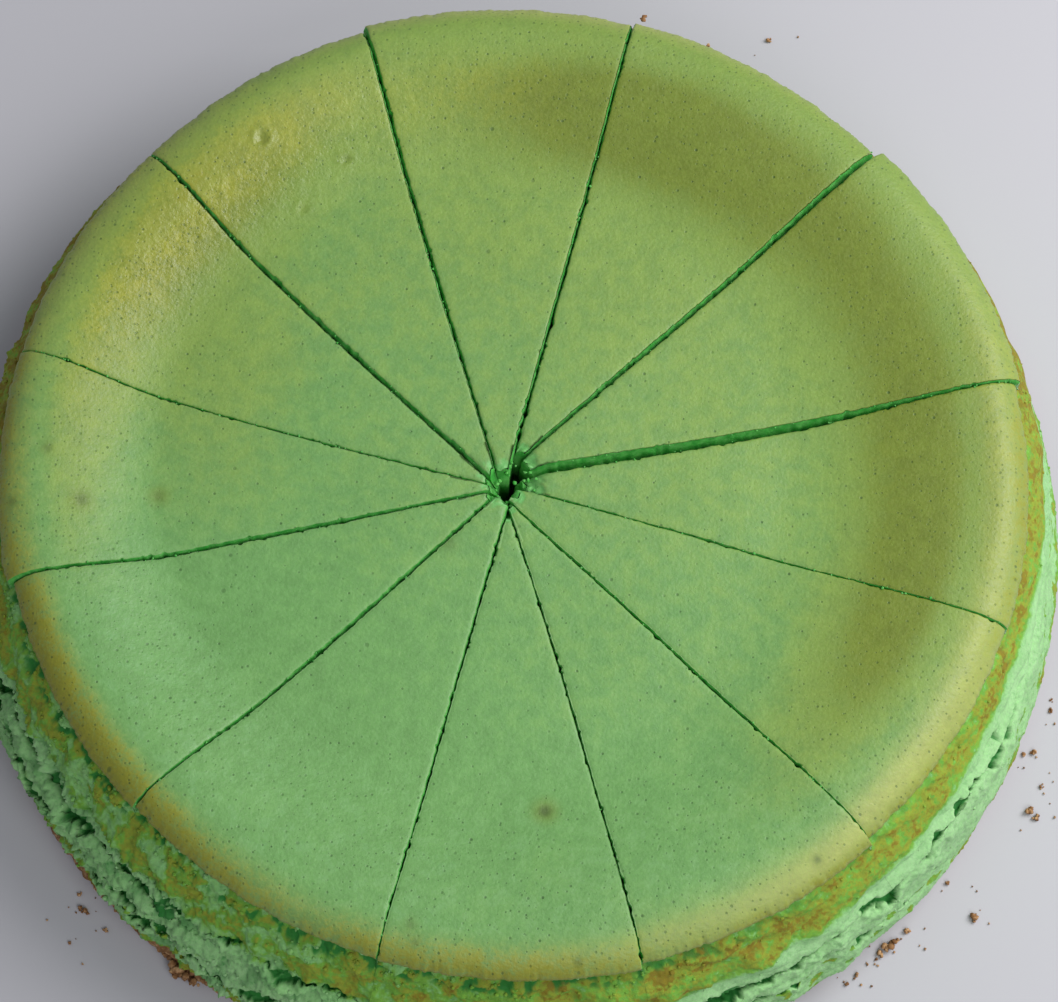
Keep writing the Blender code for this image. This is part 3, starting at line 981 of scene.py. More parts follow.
@dataclass(frozen=True)
class WallRelief:
    """Torn relief of the outer wall, finer than the solid's own crags."""

    rough: Wreath = Wreath((
        (0.0, 0.38), (40.0, 0.45), (90.0, 0.55), (150.0, 0.50), (185.0, 0.80), (222.0, 1.0), (262.0, 0.95),
        (282.0, 0.75), (300.0, 0.48), (320.0, 0.36), (345.0, 0.32),
    ))
    undercut: Wreath = Wreath((
        (0.0, 0.25), (60.0, 0.40), (150.0, 0.45), (190.0, 0.70), (212.0, 1.0), (262.0, 1.0), (284.0, 0.70),
        (305.0, 0.40), (340.0, 0.30),
    ))
    ledge_low: Wreath = Wreath((
        (0.0, 36.5), (40.0, 36.5), (140.0, 35.0), (180.0, 34.0), (205.0, 32.0), (230.0, 30.5), (250.0, 30.5),
        (270.0, 29.5), (295.0, 30.5), (308.0, 32.0), (325.0, 34.0), (340.0, 35.5),
    ))
    tan_low: Wreath = Wreath((
        (0.0, 35.0), (12.0, 29.0), (30.0, 20.0), (60.0, 22.0), (130.0, 26.0), (165.0, 27.0), (182.0, 33.0),
        (205.0, 32.0), (230.0, 30.5), (250.0, 30.5), (270.0, 29.5), (295.0, 30.5), (308.0, 32.0), (325.0, 34.0),
        (345.0, 36.0),
    ))
    olive: Wreath = Wreath((
        (0.0, 0.78), (20.0, 0.92), (60.0, 0.90), (130.0, 0.95), (172.0, 0.90), (195.0, 0.26), (215.0, 0.11),
        (250.0, 0.13), (272.0, 0.34), (290.0, 0.52), (302.0, 0.48), (320.0, 0.58), (340.0, 0.68),
    ))
    olive_patch: Wreath = Wreath((
        (0.0, 0.30), (60.0, 0.30), (172.0, 0.35), (195.0, 0.48), (250.0, 0.46), (276.0, 0.54), (292.0, 0.46),
        (325.0, 0.30),
    ))
    lump: float = 1.0
    lump_length: float = 5.0
    fold: float = 1.7
    fold_length: float = 3.0
    crumb: float = 1.3
    crumb_length: float = 1.3
    grit: float = 0.65
    grit_length: float = 0.75
    crag: float = 1.5
    crag_length: float = 3.4
    crag_back: float = 0.7
    crag_low: float = 37.0
    ledge_calm: float = 0.35
    main_crack: float = 24.4
    plunge: float = 1.0
    inward: float = 0.40
    lip_out: float = 0.40
    shelf_out: float = 0.42
    shelf_up: float = 0.16
    fade_top: float = 1.2
    sway: float = 1.6
    fold_mean: float = 0.16
    band_calm: float = 0.85
    fold_hollow: float = 0.28
    crumb_hollow: float = 0.18
    lump_hollow: float = 0.40
    pit_in: float = 2.2
    pit_drop: float = 0.8
    cracks: tuple[Crevice, ...] = (
        Crevice(25.2, 316.0, 36.0, 2.2, 1.25, 0.55, 16),
        Crevice(25.0, 278.0, 30.0, 2.2, 1.20, 0.45, 18),
        Crevice(26.2, 211.0, 38.0, 2.7, 1.80, 0.80, 20),
        Crevice(24.4, 110.0, 80.0, 2.8, 1.00, 0.20, 22),
    )
    crevices: tuple[Crevice, ...] = (
        Crevice(18.0, 234.0, 42.0, 2.0, 1.00, 0.25, 31),
        Crevice(14.0, 226.0, 22.0, 2.0, 0.90, 0.20, 33),
        Crevice(30.5, 252.0, 30.0, 2.0, 0.80, 0.20, 35),
        Crevice(20.5, 268.0, 30.0, 2.2, 0.85, 0.20, 37),
        Crevice(19.0, 303.0, 22.0, 1.6, 0.60, 0.10, 39),
        Crevice(15.0, 200.0, 24.0, 1.8, 0.70, 0.20, 41),
    )
    holes: tuple[tuple[float, float, float], ...] = (
        (309.2, 21.6, 0.95), (307.3, 21.3, 1.0), (322.4, 20.0, 0.6), (336.0, 31.5, 0.9), (345.5, 31.0, 0.8),
        (294.0, 15.0, 0.7),
    )

    def shape(self, theta: np.ndarray, height: np.ndarray, level: np.ndarray) -> dict[str, np.ndarray]:
        """Relief of each wall point.

        Args:
            theta: angles in radians.
            height: heights.
            level: heights before the crack's drift.

        Returns:
            Shifts outward ("out") and downward ("drop"), and how far into a hollow ("hollow", by which the wall's
            finish is darkened as painted shade) or on a lip ("lip") each point lies, from 0 to 1.
        """
        down = FORM.edge_height - level
        rough = self.rough.at(theta) * ease(down / self.fade_top)
        band = ease((self.ledge_low.at(theta) - height) / 1.5) * ease((level - self.main_crack) / 2.0)
        rough = rough * (1.0 - self.band_calm * band * ease((0.80 - rough) / 0.3))
        rough = rough * (1.0 - self.ledge_calm * ease((height - self.ledge_low.at(theta)) / 2.5))
        lump = FORM.ring_noise(theta, height, self.lump_length, 11)
        sway = theta + self.sway * lump / FORM.tin_radius
        fold = np.abs(FORM.ring_noise(sway, height + 1.2 * lump, self.fold_length, 12))
        crumb = np.abs(FORM.ring_noise(sway, height, self.crumb_length, 13))
        grit = FORM.ring_noise(theta, height, self.grit_length, 14)
        out = rough * (
            self.lump * lump
            + self.fold * rough * (fold - self.fold_mean)
            + self.crumb * (crumb - self.fold_mean)
            + self.grit * grit
        )
        # The hollow value marks folds, crumb pits, low lumps, crag recesses, crevices and pits; the wall's finish is
        # darkened by it as painted shade.
        hollow = ease(1.0 - fold / 0.06) * self.fold_hollow + ease(1.0 - crumb / 0.05) * self.crumb_hollow
        hollow = rough * rough * hollow
        hollow = hollow + rough * rough * self.lump_hollow * ease((-0.10 - lump) / 0.22)
        zone = self.undercut.at(theta) * ease(down / 1.0) * ease((height - self.crag_low) / 2.5)
        crag = FORM.ring_noise(theta, height, self.crag_length, 51) + 0.5 * FORM.ring_noise(theta, height, 1.5, 52)
        out = out + zone * (self.crag * crag - self.crag_back)
        hollow = np.maximum(hollow, zone * np.clip(0.25 - 2.6 * crag, 0.0, 1.0))
        # Painted shadow: a dark band just under the skin's overhanging edge, strongest where the undercut is deepest.
        hollow = np.maximum(hollow, self.undercut.at(theta) * ease(1.0 - np.abs(down - 1.7) / 1.6))
        lips = np.zeros_like(out)
        drop = np.zeros_like(out)
        lines = [(crack, level) for crack in self.cracks] + [(crevice, height) for crevice in self.crevices]
        for line, rise in lines:
            opening, lip, shelf = line.at(theta, rise)
            out = out - self.inward * line.depth * opening + self.lip_out * lip * (1.0 - opening)
            out = out + self.shelf_out * line.depth * shelf
            drop = drop + self.plunge * line.depth * opening - self.shelf_up * line.depth * shelf * (1.0 - opening)
            hollow = np.maximum(hollow, opening)
            lips = np.maximum(lips, lip * (1.0 - opening))
        for angle, rise, size in self.holes:
            across = (np.degrees(theta) - angle + 180.0) % 360.0 - 180.0
            along = np.radians(across) * FORM.tin_radius + 1.2 * lump
            away = np.hypot(along, height - rise + 0.8 * crumb) / size
            pit = ease(1.35 - away)
            out = out - self.pit_in * pit
            drop = drop + self.pit_drop * pit
            hollow = np.maximum(hollow, pit)
        return {"out": out, "drop": drop, "hollow": np.clip(hollow, 0.0, 1.0), "lip": lips}

    def colours(
        self, theta: np.ndarray, height: np.ndarray, level: np.ndarray, lip: np.ndarray
    ) -> dict[str, np.ndarray]:
        """How tanned and how pale the wall is at each point; the paleness is partly painted light."""
        down = FORM.edge_height - level
        low = self.ledge_low.at(theta)
        ledge = ease((down - 0.8) / 1.8) * ease((height - self.tan_low.at(theta) + 1.4) / 3.0)
        broad = FORM.ring_noise(theta, 1.5 * height, 9.0, 53)
        fine = FORM.ring_noise(theta, height, 2.6, 54)
        patch = ease((0.30 + 1.5 * broad + 0.8 * fine) / 0.55)
        inner = 1.0 - ease((down - 2.0) / 3.0)
        tanned = ledge * (self.olive.at(theta) + self.olive_patch.at(theta) * patch)
        tanned = tanned * (1.0 - inner * np.clip(0.55 - 1.6 * fine, 0.0, 0.85))
        foot = ease((3.4 + FORM.base_thickness - height + 3.0 * fine) / 1.5)
        tanned = tanned + foot * np.clip(0.40 + 0.9 * broad, 0.1, 0.8)
        spots = ease((FORM.ring_noise(theta, height, 4.2, 55) - 0.36) / 0.08) * ease((20.0 - height) / 3.0)
        tanned = tanned + 0.55 * spots
        # Painted light: paler round the right, where the lamps fall, and low on the front-left, standing in for light
        # the lamps leave out; this lies on the mint crumb's own paleness.
        light = 0.36 + 0.59 * bell(theta, 335.0, 92.0)
        light = light + 0.50 * bell(theta, 252.0, 26.0) * ease((26.0 - height) / 5.0)
        pale = light * ease((low + 0.6 - height) / 2.6) + 0.45 * lip + 0.25 * ease((2.2 - down) / 1.2)
        return {"tanned": tanned, "pale": np.clip(pale, 0.0, 1.0)}


def make_lumps_tree() -> bpy.types.NodeTree:
    """Geometry Nodes tree: an uneven lump of a few kinds on each point, sized by the point's own value."""
    tree = bpy.data.node_groups.new("lumps", "GeometryNodeTree")
    tree.interface.new_socket("Geometry", in_out="INPUT", socket_type="NodeSocketGeometry")
    for label, kind, value in (("Unevenness", "NodeSocketFloat", 0.9), ("Detail", "NodeSocketInt", 2),
                               ("Seed", "NodeSocketInt", 0), ("Finish", "NodeSocketMaterial", None)):
        socket = tree.interface.new_socket(label, in_out="INPUT", socket_type=kind)
        if value is not None:
            socket.default_value = value
    tree.interface.new_socket("Geometry", in_out="OUTPUT", socket_type="NodeSocketGeometry")
    graph = Graph(tree)
    given = graph.add("NodeGroupInput").outputs
    ball = graph.add("GeometryNodeMeshIcoSphere", Radius=1.0, Subdivisions=given["Detail"])
    place = graph.add("GeometryNodeInputPosition").outputs[0]
    normal = graph.add("GeometryNodeInputNormal").outputs["Normal"]
    kinds = graph.add("GeometryNodeJoinGeometry")
    for kind in range(LUMP_KINDS):
        pattern = graph.add("ShaderNodeTexNoise", {"noise_dimensions": "4D"}, Vector=place, W=3.7 * kind, Scale=1.15,
                            Detail=3.0, Roughness=0.65)
        rise = graph.math("MULTIPLY", graph.math("SUBTRACT", pattern.outputs["Fac"], 0.5), 2.0)
        rise = graph.math("MULTIPLY", rise, given["Unevenness"])
        push = graph.add("ShaderNodeVectorMath", {"operation": "SCALE"}, Scale=rise)
        graph.feed(push, 0, normal)
        shaped = graph.add("GeometryNodeSetPosition", Geometry=ball.outputs["Mesh"], Offset=push.outputs[0])
        single = graph.add("GeometryNodeGeometryToInstance", Geometry=shaped.outputs[0])
        graph.feed(kinds, "Geometry", single.outputs[0])
    pick = graph.add("FunctionNodeRandomValue", {"data_type": "INT"}, Seed=given["Seed"])
    pick.inputs[4].default_value = 0
    pick.inputs[5].default_value = LUMP_KINDS - 1
    turn = graph.add("FunctionNodeRandomValue", {"data_type": "FLOAT_VECTOR"}, Seed=given["Seed"])
    turn.inputs[0].default_value = (0.0, 0.0, 0.0)
    turn.inputs[1].default_value = (FULL_TURN, FULL_TURN, FULL_TURN)
    stretch = graph.add("FunctionNodeRandomValue", {"data_type": "FLOAT_VECTOR"}, Seed=given["Seed"])
    stretch.inputs[0].default_value = (0.70, 0.70, 0.60)
    stretch.inputs[1].default_value = (1.25, 1.15, 1.0)
    size = graph.add("GeometryNodeInputNamedAttribute", {"data_type": "FLOAT"}, Name="size").outputs["Attribute"]
    scale = graph.add("ShaderNodeVectorMath", {"operation": "SCALE"}, Scale=size)
    graph.feed(scale, 0, stretch.outputs[0])
    spread = graph.add("GeometryNodeInstanceOnPoints", Points=given["Geometry"], Instance=kinds.outputs[0],
                       Rotation=turn.outputs[0], Scale=scale.outputs[0])
    spread.inputs["Pick Instance"].default_value = True
    graph.feed(spread, "Instance Index", pick.outputs[2])
    real = graph.add("GeometryNodeRealizeInstances", Geometry=spread.outputs[0])
    smooth = graph.add("GeometryNodeSetShadeSmooth", Geometry=real.outputs[0])
    dressed = graph.add("GeometryNodeSetMaterial", Geometry=smooth.outputs[0], Material=given["Finish"])
    graph.add("NodeGroupOutput", Geometry=dressed.outputs[0])
    return tree


@dataclass
class Lumps:
    """Many small uneven lumps of one finish, grown on points by Geometry Nodes."""

    name: str
    slot: str
    seed: int
    detail: int = 2
    unevenness: float = 0.9
    points: list[tuple[float, float, float]] = field(default_factory=list)
    values: dict[str, list[float]] = field(default_factory=lambda: {"size": []})

    def put(self, x: float, y: float, z: float, size: float, **values: float) -> None:
        """Adds a lump of this radius, with further named values."""
        for name in set(values) | set(self.values):
            if name != "size":
                self.values.setdefault(name, [0.0] * len(self.points)).append(values.get(name, 0.0))
        self.values["size"].append(size * MM)
        self.points.append((x * MM, y * MM, z * MM))

    def build(self, tree: bpy.types.NodeTree, material: bpy.types.Material) -> bpy.types.Object:
        """Grows the lumps and makes them one plain mesh.

        Args:
            tree: the Geometry Nodes tree of the lumps.
            material: their finish.

        Returns:
            The finished piece.
        """
        mesh = bpy.data.meshes.new(self.name)
        mesh.from_pydata(self.points, [], [])
        for label, numbers in self.values.items():
            mesh.attributes.new(label, "FLOAT", "POINT").data.foreach_set("value", np.array(numbers, np.float32))
        thing = put_in_scene(self.name, mesh)
        modifier = thing.modifiers.new("lumps", "NODES")
        modifier.node_group = tree
        sockets = {item.name: item.identifier for item in tree.interface.items_tree if item.in_out == "INPUT"}
        modifier[sockets["Unevenness"]] = self.unevenness
        modifier[sockets["Detail"]] = self.detail
        modifier[sockets["Seed"]] = self.seed
        modifier[sockets["Finish"]] = material
        depsgraph = bpy.context.evaluated_depsgraph_get()
        grown = bpy.data.meshes.new_from_object(
            thing.evaluated_get(depsgraph), preserve_all_data_layers=True, depsgraph=depsgraph)
        thing.modifiers.clear()
        thing.data = grown
        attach(thing, BODY)
        return thing


@dataclass
class WallCrumbs:
    """Torn crumbs that stand on the wall's crags, at points picked from the wall itself."""

    lumps: Lumps = field(default_factory=lambda: Lumps("wall_crumbs", "green_filling", 51, unevenness=1.1))
    per_slice: int = 260
    sizes: tuple[float, float] = (0.22, 0.62)

    def pick(self, index: int, rows: list[tuple[np.ndarray, dict[str, np.ndarray]]], relief: WallRelief) -> None:
        """Picks points on one slice's wall, more where it is rough.

        Args:
            index: the slice.
            rows: the wall's rows with their values.
            relief: the wall's relief, which says how rough it is.
        """
        rng = np.random.default_rng(500 + index)
        points = np.concatenate([row for row, _ in rows])
        values = {name: np.concatenate([row[name] for _, row in rows]) for name in ("hollow", "tanned", "pale")}
        theta = np.arctan2(points[:, 1], points[:, 0])
        near_skin = ease((points[:, 2] - 36.0) / 4.0) * ease((43.4 - points[:, 2]) / 1.0)
        weight = relief.rough.at(theta) ** 2.5 * (0.35 + 1.3 * near_skin) * (1.0 - 0.7 * values["hollow"])
        weight = weight * ease((points[:, 2] - 6.0) / 2.0)
        count = int(self.per_slice * float(np.mean(relief.rough.at(theta)) ** 2))
        for spot in rng.choice(len(points), count, replace=False, p=weight / weight.sum()):
            size = float(rng.uniform(*self.sizes) * (0.6 + 0.4 * relief.rough.at(theta[spot])))
            x, y, z = points[spot]
            # Each crumb takes the wall's tan and paleness at its point, painted light included, with some paleness
            # added at random.
            self.lumps.put(float(x), float(y), float(z), size, tanned=float(values["tanned"][spot]),
                           pale=float(min(values["pale"][spot] + rng.uniform(0.0, 0.5), 1.0)))


@dataclass
class SliceFilling:
    """The green filling of one slice: dished top, torn outer wall, two cut faces and a torn tip."""

    index: int
    crumbs: WallCrumbs
    browning: Browning = field(default_factory=Browning)
    relief: WallRelief = field(default_factory=WallRelief)
    top_spacing: float = 1.0
    wall_spacing: float = 0.38
    row_spacing: float = 0.5
    rim_rows: int = 24
    edge_steps: tuple[float, ...] = (0.0, 0.25, 0.65, 1.3)
    edge_drop: float = 0.20
    edge_soft: float = 0.28
    edge_wander: float = 0.16
    edge_notch: float = 0.34
    tip_torn: tuple[float, ...] = (1.4, 1.3, 0.9, 0.7, 0.6, 0.6, 0.6, 0.6, 0.6, 0.6, 0.5, 2.2)
    tip_runs: tuple[float, ...] = (0.12, 0.15, 0.45, 0.55, 0.55, 0.50, 0.50, 0.50, 0.55, 0.50, 0.40, 0.30)
    swell: float = 0.30
    swell_length: float = 26.0
    ripple: float = 0.06
    ripple_length: float = 6.0
    depths: tuple[float, ...] = (0.2, 0.5, 0.9, 1.4, 2.1, 3.1, 4.6, 7.0, 12.0, 20.0)
    seam: float = 0.04
    wall_seam: float = 0.01

    @property
    def node(self) -> str:
        """Name of the CAD node that this piece replaces."""
        return f"slice_{self.index + 1:02d}_filling"

    def cut(self, side: int) -> Cut:
        """The cut beside the slice: side 0 is its own, side -1 the next."""
        return CUTS[self.index if side == 0 else (self.index + 1) % len(CUTS)]

    def shares(self) -> np.ndarray:
        """Shares of the way from the hub to the rim at which the top has a row."""
        tip = SLICES[self.index].tip / FORM.skin_radius
        inner = np.linspace(tip, 0.86, int((0.86 - tip) * FORM.skin_radius / self.row_spacing))
        outer = 1.0 - (1.0 - 0.86) * (1.0 - np.linspace(0.0, 1.0, self.rim_rows + 1)[1:]) ** 1.25
        return np.concatenate([inner, outer])

    def columns(self, length: float, spacing: float) -> np.ndarray:
        """Columns across a row of this length, closer together beside the cuts."""
        ends = np.array(self.edge_steps)
        if length < 4.0 * ends[-1]:
            return np.linspace(0.0, 1.0, 7)
        inner = np.linspace(ends[-1], length - ends[-1], max(3, int(round((length - 2.0 * ends[-1]) / spacing)) + 1))
        return np.concatenate([ends[:-1], inner, length - ends[:-1][::-1]]) / length

    def ragged(self, theta: np.ndarray) -> np.ndarray:
        """Unevenness of the skin's edge."""
        coarse = FORM.ring_noise(theta, 0.0, FORM.crag_length / 2.0, 1)
        fine = 0.7 * FORM.ring_noise(theta, 0.0, 1.6, 7) + 0.6 * FORM.ring_noise(theta, 0.0, 0.7, 8)
        return FORM.skin_ragged * (coarse + fine)

    def torn_edge(self, x: np.ndarray, y: np.ndarray, gap: float) -> np.ndarray:
        """How far a cut's upper edge is torn into the gap, or away from it where negative."""
        plan = np.stack([x, y, np.full_like(x, 5.7 * self.index)], axis=-1)
        wander = perlin(plan / 1.2) + 0.8 * perlin(plan / 3.6 + (0.0, 9.0, 0.0))
        notch = ease((perlin(plan / 1.1 + (3.0, 0.0, 5.0)) - 0.20) / 0.20)
        notch = notch * ease(0.4 + 3.0 * perlin(plan / 7.0 + (0.0, 4.0, 2.0)))
        return np.minimum(self.edge_wander * wander - self.edge_notch * notch, gap / 2.0 - self.seam)

    def top_row(self, share: float, spacing: float) -> tuple[np.ndarray, np.ndarray, dict[str, np.ndarray]]:
        """One row across the top.

        Args:
            share: how far out from the hub.
            spacing: distance between columns.

        Returns:
            Points, columns and named values.
        """
        piece = SLICES[self.index]
        ends = FORM.slice_angle(self.index, np.array([0.0, 1.0]), np.full(2, share))
        length = float(ends[1] - ends[0]) * share * FORM.skin_radius
        column = self.columns(length, spacing)
        angle = FORM.slice_angle(self.index, column, np.full(len(column), share))
        radius = piece.skin_radius(column) + self.ragged(angle) * ease((share - 0.97) / 0.03)
        away = share * FORM.skin_radius - piece.tip
        torn_back = 1.3 * perlin(np.stack([np.cos(angle) * 2.6, np.sin(angle) * 2.6, angle * 0.0 + 1.7], axis=-1))
        torn_back = torn_back * ease(1.0 - away / 4.0)
        x, y = FORM.on_ray(angle, share * FORM.reach(angle, radius) + torn_back)
        z = FORM.top_height(x, y, radius) + piece.lift
        theta = np.arctan2(y, x)
        out = np.hypot(x, y) / radius
        calm = ease((1.0 - share) / 0.05)
        plan = np.stack([x, y, np.zeros_like(x)], axis=-1)
        z += calm * self.swell * perlin(plan / self.swell_length + (3.1 * self.index, 0.0, 0.0))
        z += calm * self.ripple * perlin(plan / self.ripple_length + (0.0, 0.0, 4.0))
        torn_reach = 1.5 + 1.4 * self.tip_torn[self.index]
        rough = 0.5 + perlin(plan / 1.9 + (0.0, 0.0, 8.0)) + 0.6 * perlin(plan / 0.8 + (0.0, 0.0, 3.0))
        fallen = ease(1.35 - (away + 2.4 * rough) / torn_reach)
        z -= fallen * self.tip_torn[self.index] * (0.4 + 1.1 * rough)
        values = {
            "browning": self.browning.at(theta, out),
            **self.browning.roll_at(theta, out),
            "share": np.full(len(x), share),
            "gloss": bell(theta, 136.0, 58.0) * ease((out - 0.62) / 0.2) * ease((0.96 - out) / 0.08),
            "torn": np.clip(fallen * 2.2, 0.0, 1.0),
            "spot": np.zeros(len(x)),
            "halo": np.zeros(len(x)),
        }
        for mark in BLEMISHES:
            near = mark.reach(x, y)
            values["spot"] = np.maximum(values["spot"], mark.dark * ease(1.35 - near))
            values["halo"] = np.maximum(values["halo"], mark.halo * ease(1.0 - near / 3.2))
            z += mark.dent * (0.7 * np.exp(-((near - 1.3) / 0.45) ** 2) - np.exp(-near**2))
        for side, sign in ((0, -1.0), (-1, 1.0)):
            aside = np.abs(column - column[side]) * length
            gap = float(self.cut(side).gap(np.array(min(share, 1.0))))
            shift = sign * self.torn_edge(x, y, gap) * np.exp(-aside / 0.7)
            x, y = x - np.sin(angle) * shift, y + np.cos(angle) * shift
            z -= self.edge_drop * np.exp(-aside / self.edge_soft)
        return np.stack([x, y, z], axis=-1), column, values

    def closing(self, side: int, share: np.ndarray | float, depth: np.ndarray | float) -> np.ndarray:
        """How far a cut's face leans into the gap at a depth below the top."""
        gap = self.cut(side).gap(np.minimum(np.asarray(share, float), 1.0))
        return (gap / 2.0 - self.seam) * ease(np.asarray(depth) / (0.2 + 2.2 * gap)) ** 0.8

    def wall_profile(self) -> tuple[np.ndarray, np.ndarray, np.ndarray, np.ndarray]:
        """Radius, height, crag and crack weight down the wall, at close steps through the stations."""
        radius, height, crag, crack = (
            np.array([getattr(station, name) for station in WALL]) for name in ("radius", "height", "crag", "crack")
        )
        along = np.concatenate([[0.0], np.cumsum(np.hypot(np.diff(radius), np.diff(height)))])
        steps = np.linspace(0.0, along[-1], int(along[-1] / self.wall_spacing) + 1)
        smooth = [curve_through(along, values, steps) for values in (radius, height)]
        return smooth[0], smooth[1], np.interp(steps, along, crag), np.interp(steps, along, crack)

    def wall_rows(self, column: np.ndarray) -> list[tuple[np.ndarray, dict[str, np.ndarray]]]:
        """Every row of the torn wall under the skin's edge, with its values."""
        radii, heights, crags, cracks = self.wall_profile()
        shape = (len(radii), len(column))
        share = np.broadcast_to((radii / FORM.skin_radius)[:, None], shape)
        across = np.broadcast_to(column[None], shape)
        level = np.broadcast_to(heights[:, None], shape)
        down = FORM.edge_height - level
        angle = FORM.slice_angle(self.index, across, share).copy()
        for side, sign in ((0, -1.0), (-1, 1.0)):
            fade = np.exp(-np.abs(column - column[side]) * 55.0 / 1.5)[None]
            meeting = self.closing(side, 1.0, down) + (self.seam - self.wall_seam) * ease((down - 1.0) / 2.0)
            angle += sign * fade * meeting / radii[:, None]
        radius = radii[:, None] + self.stand_out(across, down) * level / FORM.edge_height
        crag = FORM.ring_noise(angle, level, FORM.crag_length, 3)
        fine_length = FORM.crag_length / FORM.fine_crag_factor
        crag = crag + FORM.fine_crag_share * FORM.ring_noise(angle, level, fine_length, 4)
        crag = crag * FORM.roughness.at(angle)
        near = ease(1.0 - np.abs(level - FORM.crack_height) / FORM.crack_reach)
        height = level + near * FORM.crack_drift(angle[0])[None]
        fine = self.relief.shape(angle, height, level)
        radius = radius + crags[:, None] * crag + fine["out"] - 0.4 * cracks[:, None] * FORM.crack_open(angle)
        radius = radius - FORM.drawn_in(angle, level) + self.ragged(angle[0])[None] * ease(1.0 - down / 1.2)
        x, y = FORM.on_ray(angle, FORM.reach(angle, radius))
        z = height - fine["drop"] + SLICES[self.index].lift * ease(1.0 - down / 6.0)
        # Tan and paleness of the wall; the paleness is partly painted light, and the hollow values darken the finish as
        # painted shade.
        colours = self.relief.colours(angle, height, level, fine["lip"])
        rows = []
        for number in range(1, shape[0]):
            points = np.stack([x[number], y[number], z[number]], axis=-1)
            theta = np.arctan2(y[number], x[number])
            rows.append((points, {
                "hollow": fine["hollow"][number],
                "tanned": colours["tanned"][number],
                "pale": colours["pale"][number],
                **self.browning.roll_at(theta, np.ones_like(theta)),
                "share": 1.0,
            }))
        return rows

    def stand_out(self, column: np.ndarray, down: np.ndarray) -> np.ndarray:
        """How far the slice stands out of the round: its own amount at the skin, its neighbours' mean below."""
        own, before, after = (SLICES[(self.index + step) % len(SLICES)] for step in (0, -1, 1))
        start, end = (before.end_radius + own.start_radius) / 2.0, (own.end_radius + after.start_radius) / 2.0
        shared = start + (end - start) * column
        return own.skin_radius(column) + (shared - own.skin_radius(column)) * ease(down / 4.5) - FORM.skin_radius

    def cut_sheet(self, point: np.ndarray, side: int, share: float) -> np.ndarray:
        """Points of a cut's face under one point of its upper edge."""
        floor = FORM.base_thickness + FORM.clearance
        depth = np.array([0.0, *self.depths, point[2] - floor])
        angle = math.atan2(point[1] - FORM.hub_y, point[0] - FORM.hub_x)
        lean = self.closing(side, share, depth)
        where = np.stack([np.full_like(depth, point[0]), np.full_like(depth, point[1]), point[2] - depth], axis=-1)
        gap = float(self.cut(side).gap(np.array(min(share, 1.0))))
        torn = 0.30 * min(gap, 1.0) * perlin(where / 1.4 + (4.0 * side, 0.0, 2.0 * self.index))
        lean = np.where(depth > 0.0, lean + torn * ease(depth / 0.6) * ease((9.0 - depth) / 5.0), 0.0)
        lean = np.minimum(lean, gap / 2.0) * (1.0 if side else -1.0)
        where[:, 0] -= math.sin(angle) * lean
        where[:, 1] += math.cos(angle) * lean
        inward = self.tip_slope(share) * ease(depth / 6.0)
        where[:, 0] -= inward * math.cos(angle)
        where[:, 1] -= inward * math.sin(angle)
        return where

    def tip_slope(self, share: float) -> float:
        """How far the torn tip runs out towards the hub at depth."""
        tip = SLICES[self.index].tip
        away = share * FORM.skin_radius - tip
        return self.tip_runs[self.index] * tip * float(ease(1.0 - away / 3.0))

    def add_cuts(self, skin: Skin, top: list, wall: list) -> None:
        """Closes the two cut faces, the tip and the underside.

        Args:
            skin: the mesh so far.
            top: vertex numbers, columns, shares and points of the top's rows.
            wall: vertex numbers and points of the wall's rows.
        """
        kind = Part.CUT.value
        sides = []
        for side in (0, -1):
            sheets = []
            for numbers, _, share, points in top:
                sheet = self.cut_sheet(points[side], side, share)
                sheets.append(np.concatenate([[numbers[side]], skin.add(sheet[1:])]))
            for first, second in zip(sheets, sheets[1:]):
                skin.strip(first, second, kind)
            edge = np.array([top[-1][0][side]] + [numbers[side] for numbers, _ in wall])
            lead_heights = self.cut_sheet(top[-1][3][side], side, 1.0)[:, 2]
            edge_heights = np.array([top[-1][3][side][2]] + [points[side][2] for _, points in wall])
            places = tuple(
                np.maximum.accumulate((row[0] - row) / (row[0] - row[-1])) for row in (lead_heights, edge_heights)
            )
            skin.zip_up(sheets[-1], edge, places, kind)
            sides.append(sheets)
        start, end = sides
        tips = [np.array([start[0][level], end[0][level]]) for level in range(len(start[0]))]
        skin.zip_up(top[0][0], tips[1], (top[0][1], np.array([0.0, 1.0])), kind)
        for first, second in zip(tips[1:], tips[2:]):
            skin.strip(first, second, kind)
        ring = [sheet[-1] for sheet in start] + list(wall[-1][0]) + [sheet[-1] for sheet in reversed(end)]
        skin.face(ring, kind)

    def build(self, materials: Sequence[bpy.types.Material]) -> bpy.types.Object:
        """Makes the slice's filling as one closed mesh."""
        skin = Skin()
        top = []
        for share in self.shares():
            spacing = self.top_spacing if share < 0.94 else 0.38 + (1.0 - share) * 10.0
            points, column, values = self.top_row(share, spacing)
            top.append((skin.add(points, **values), column, share, points))
        for first, second in zip(top, top[1:]):
            skin.zip_up(first[0], second[0], (first[1], second[1]), Part.TOP.value)
        torn = self.wall_rows(top[-1][1])
        self.crumbs.pick(self.index, torn, self.relief)
        wall = [(skin.add(points, **values), points) for points, values in torn]
        rows = [top[-1][0]] + [numbers for numbers, _ in wall]
        for number, (first, second) in enumerate(zip(rows, rows[1:])):
            skin.strip(first, second, Part.TOP.value if number < 2 else Part.WALL.value)
        self.add_cuts(skin, top, wall)
        thing = skin.to_object(self.node + "_finished", materials)
        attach(thing, BODY)
        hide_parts(self.node)
        return thing


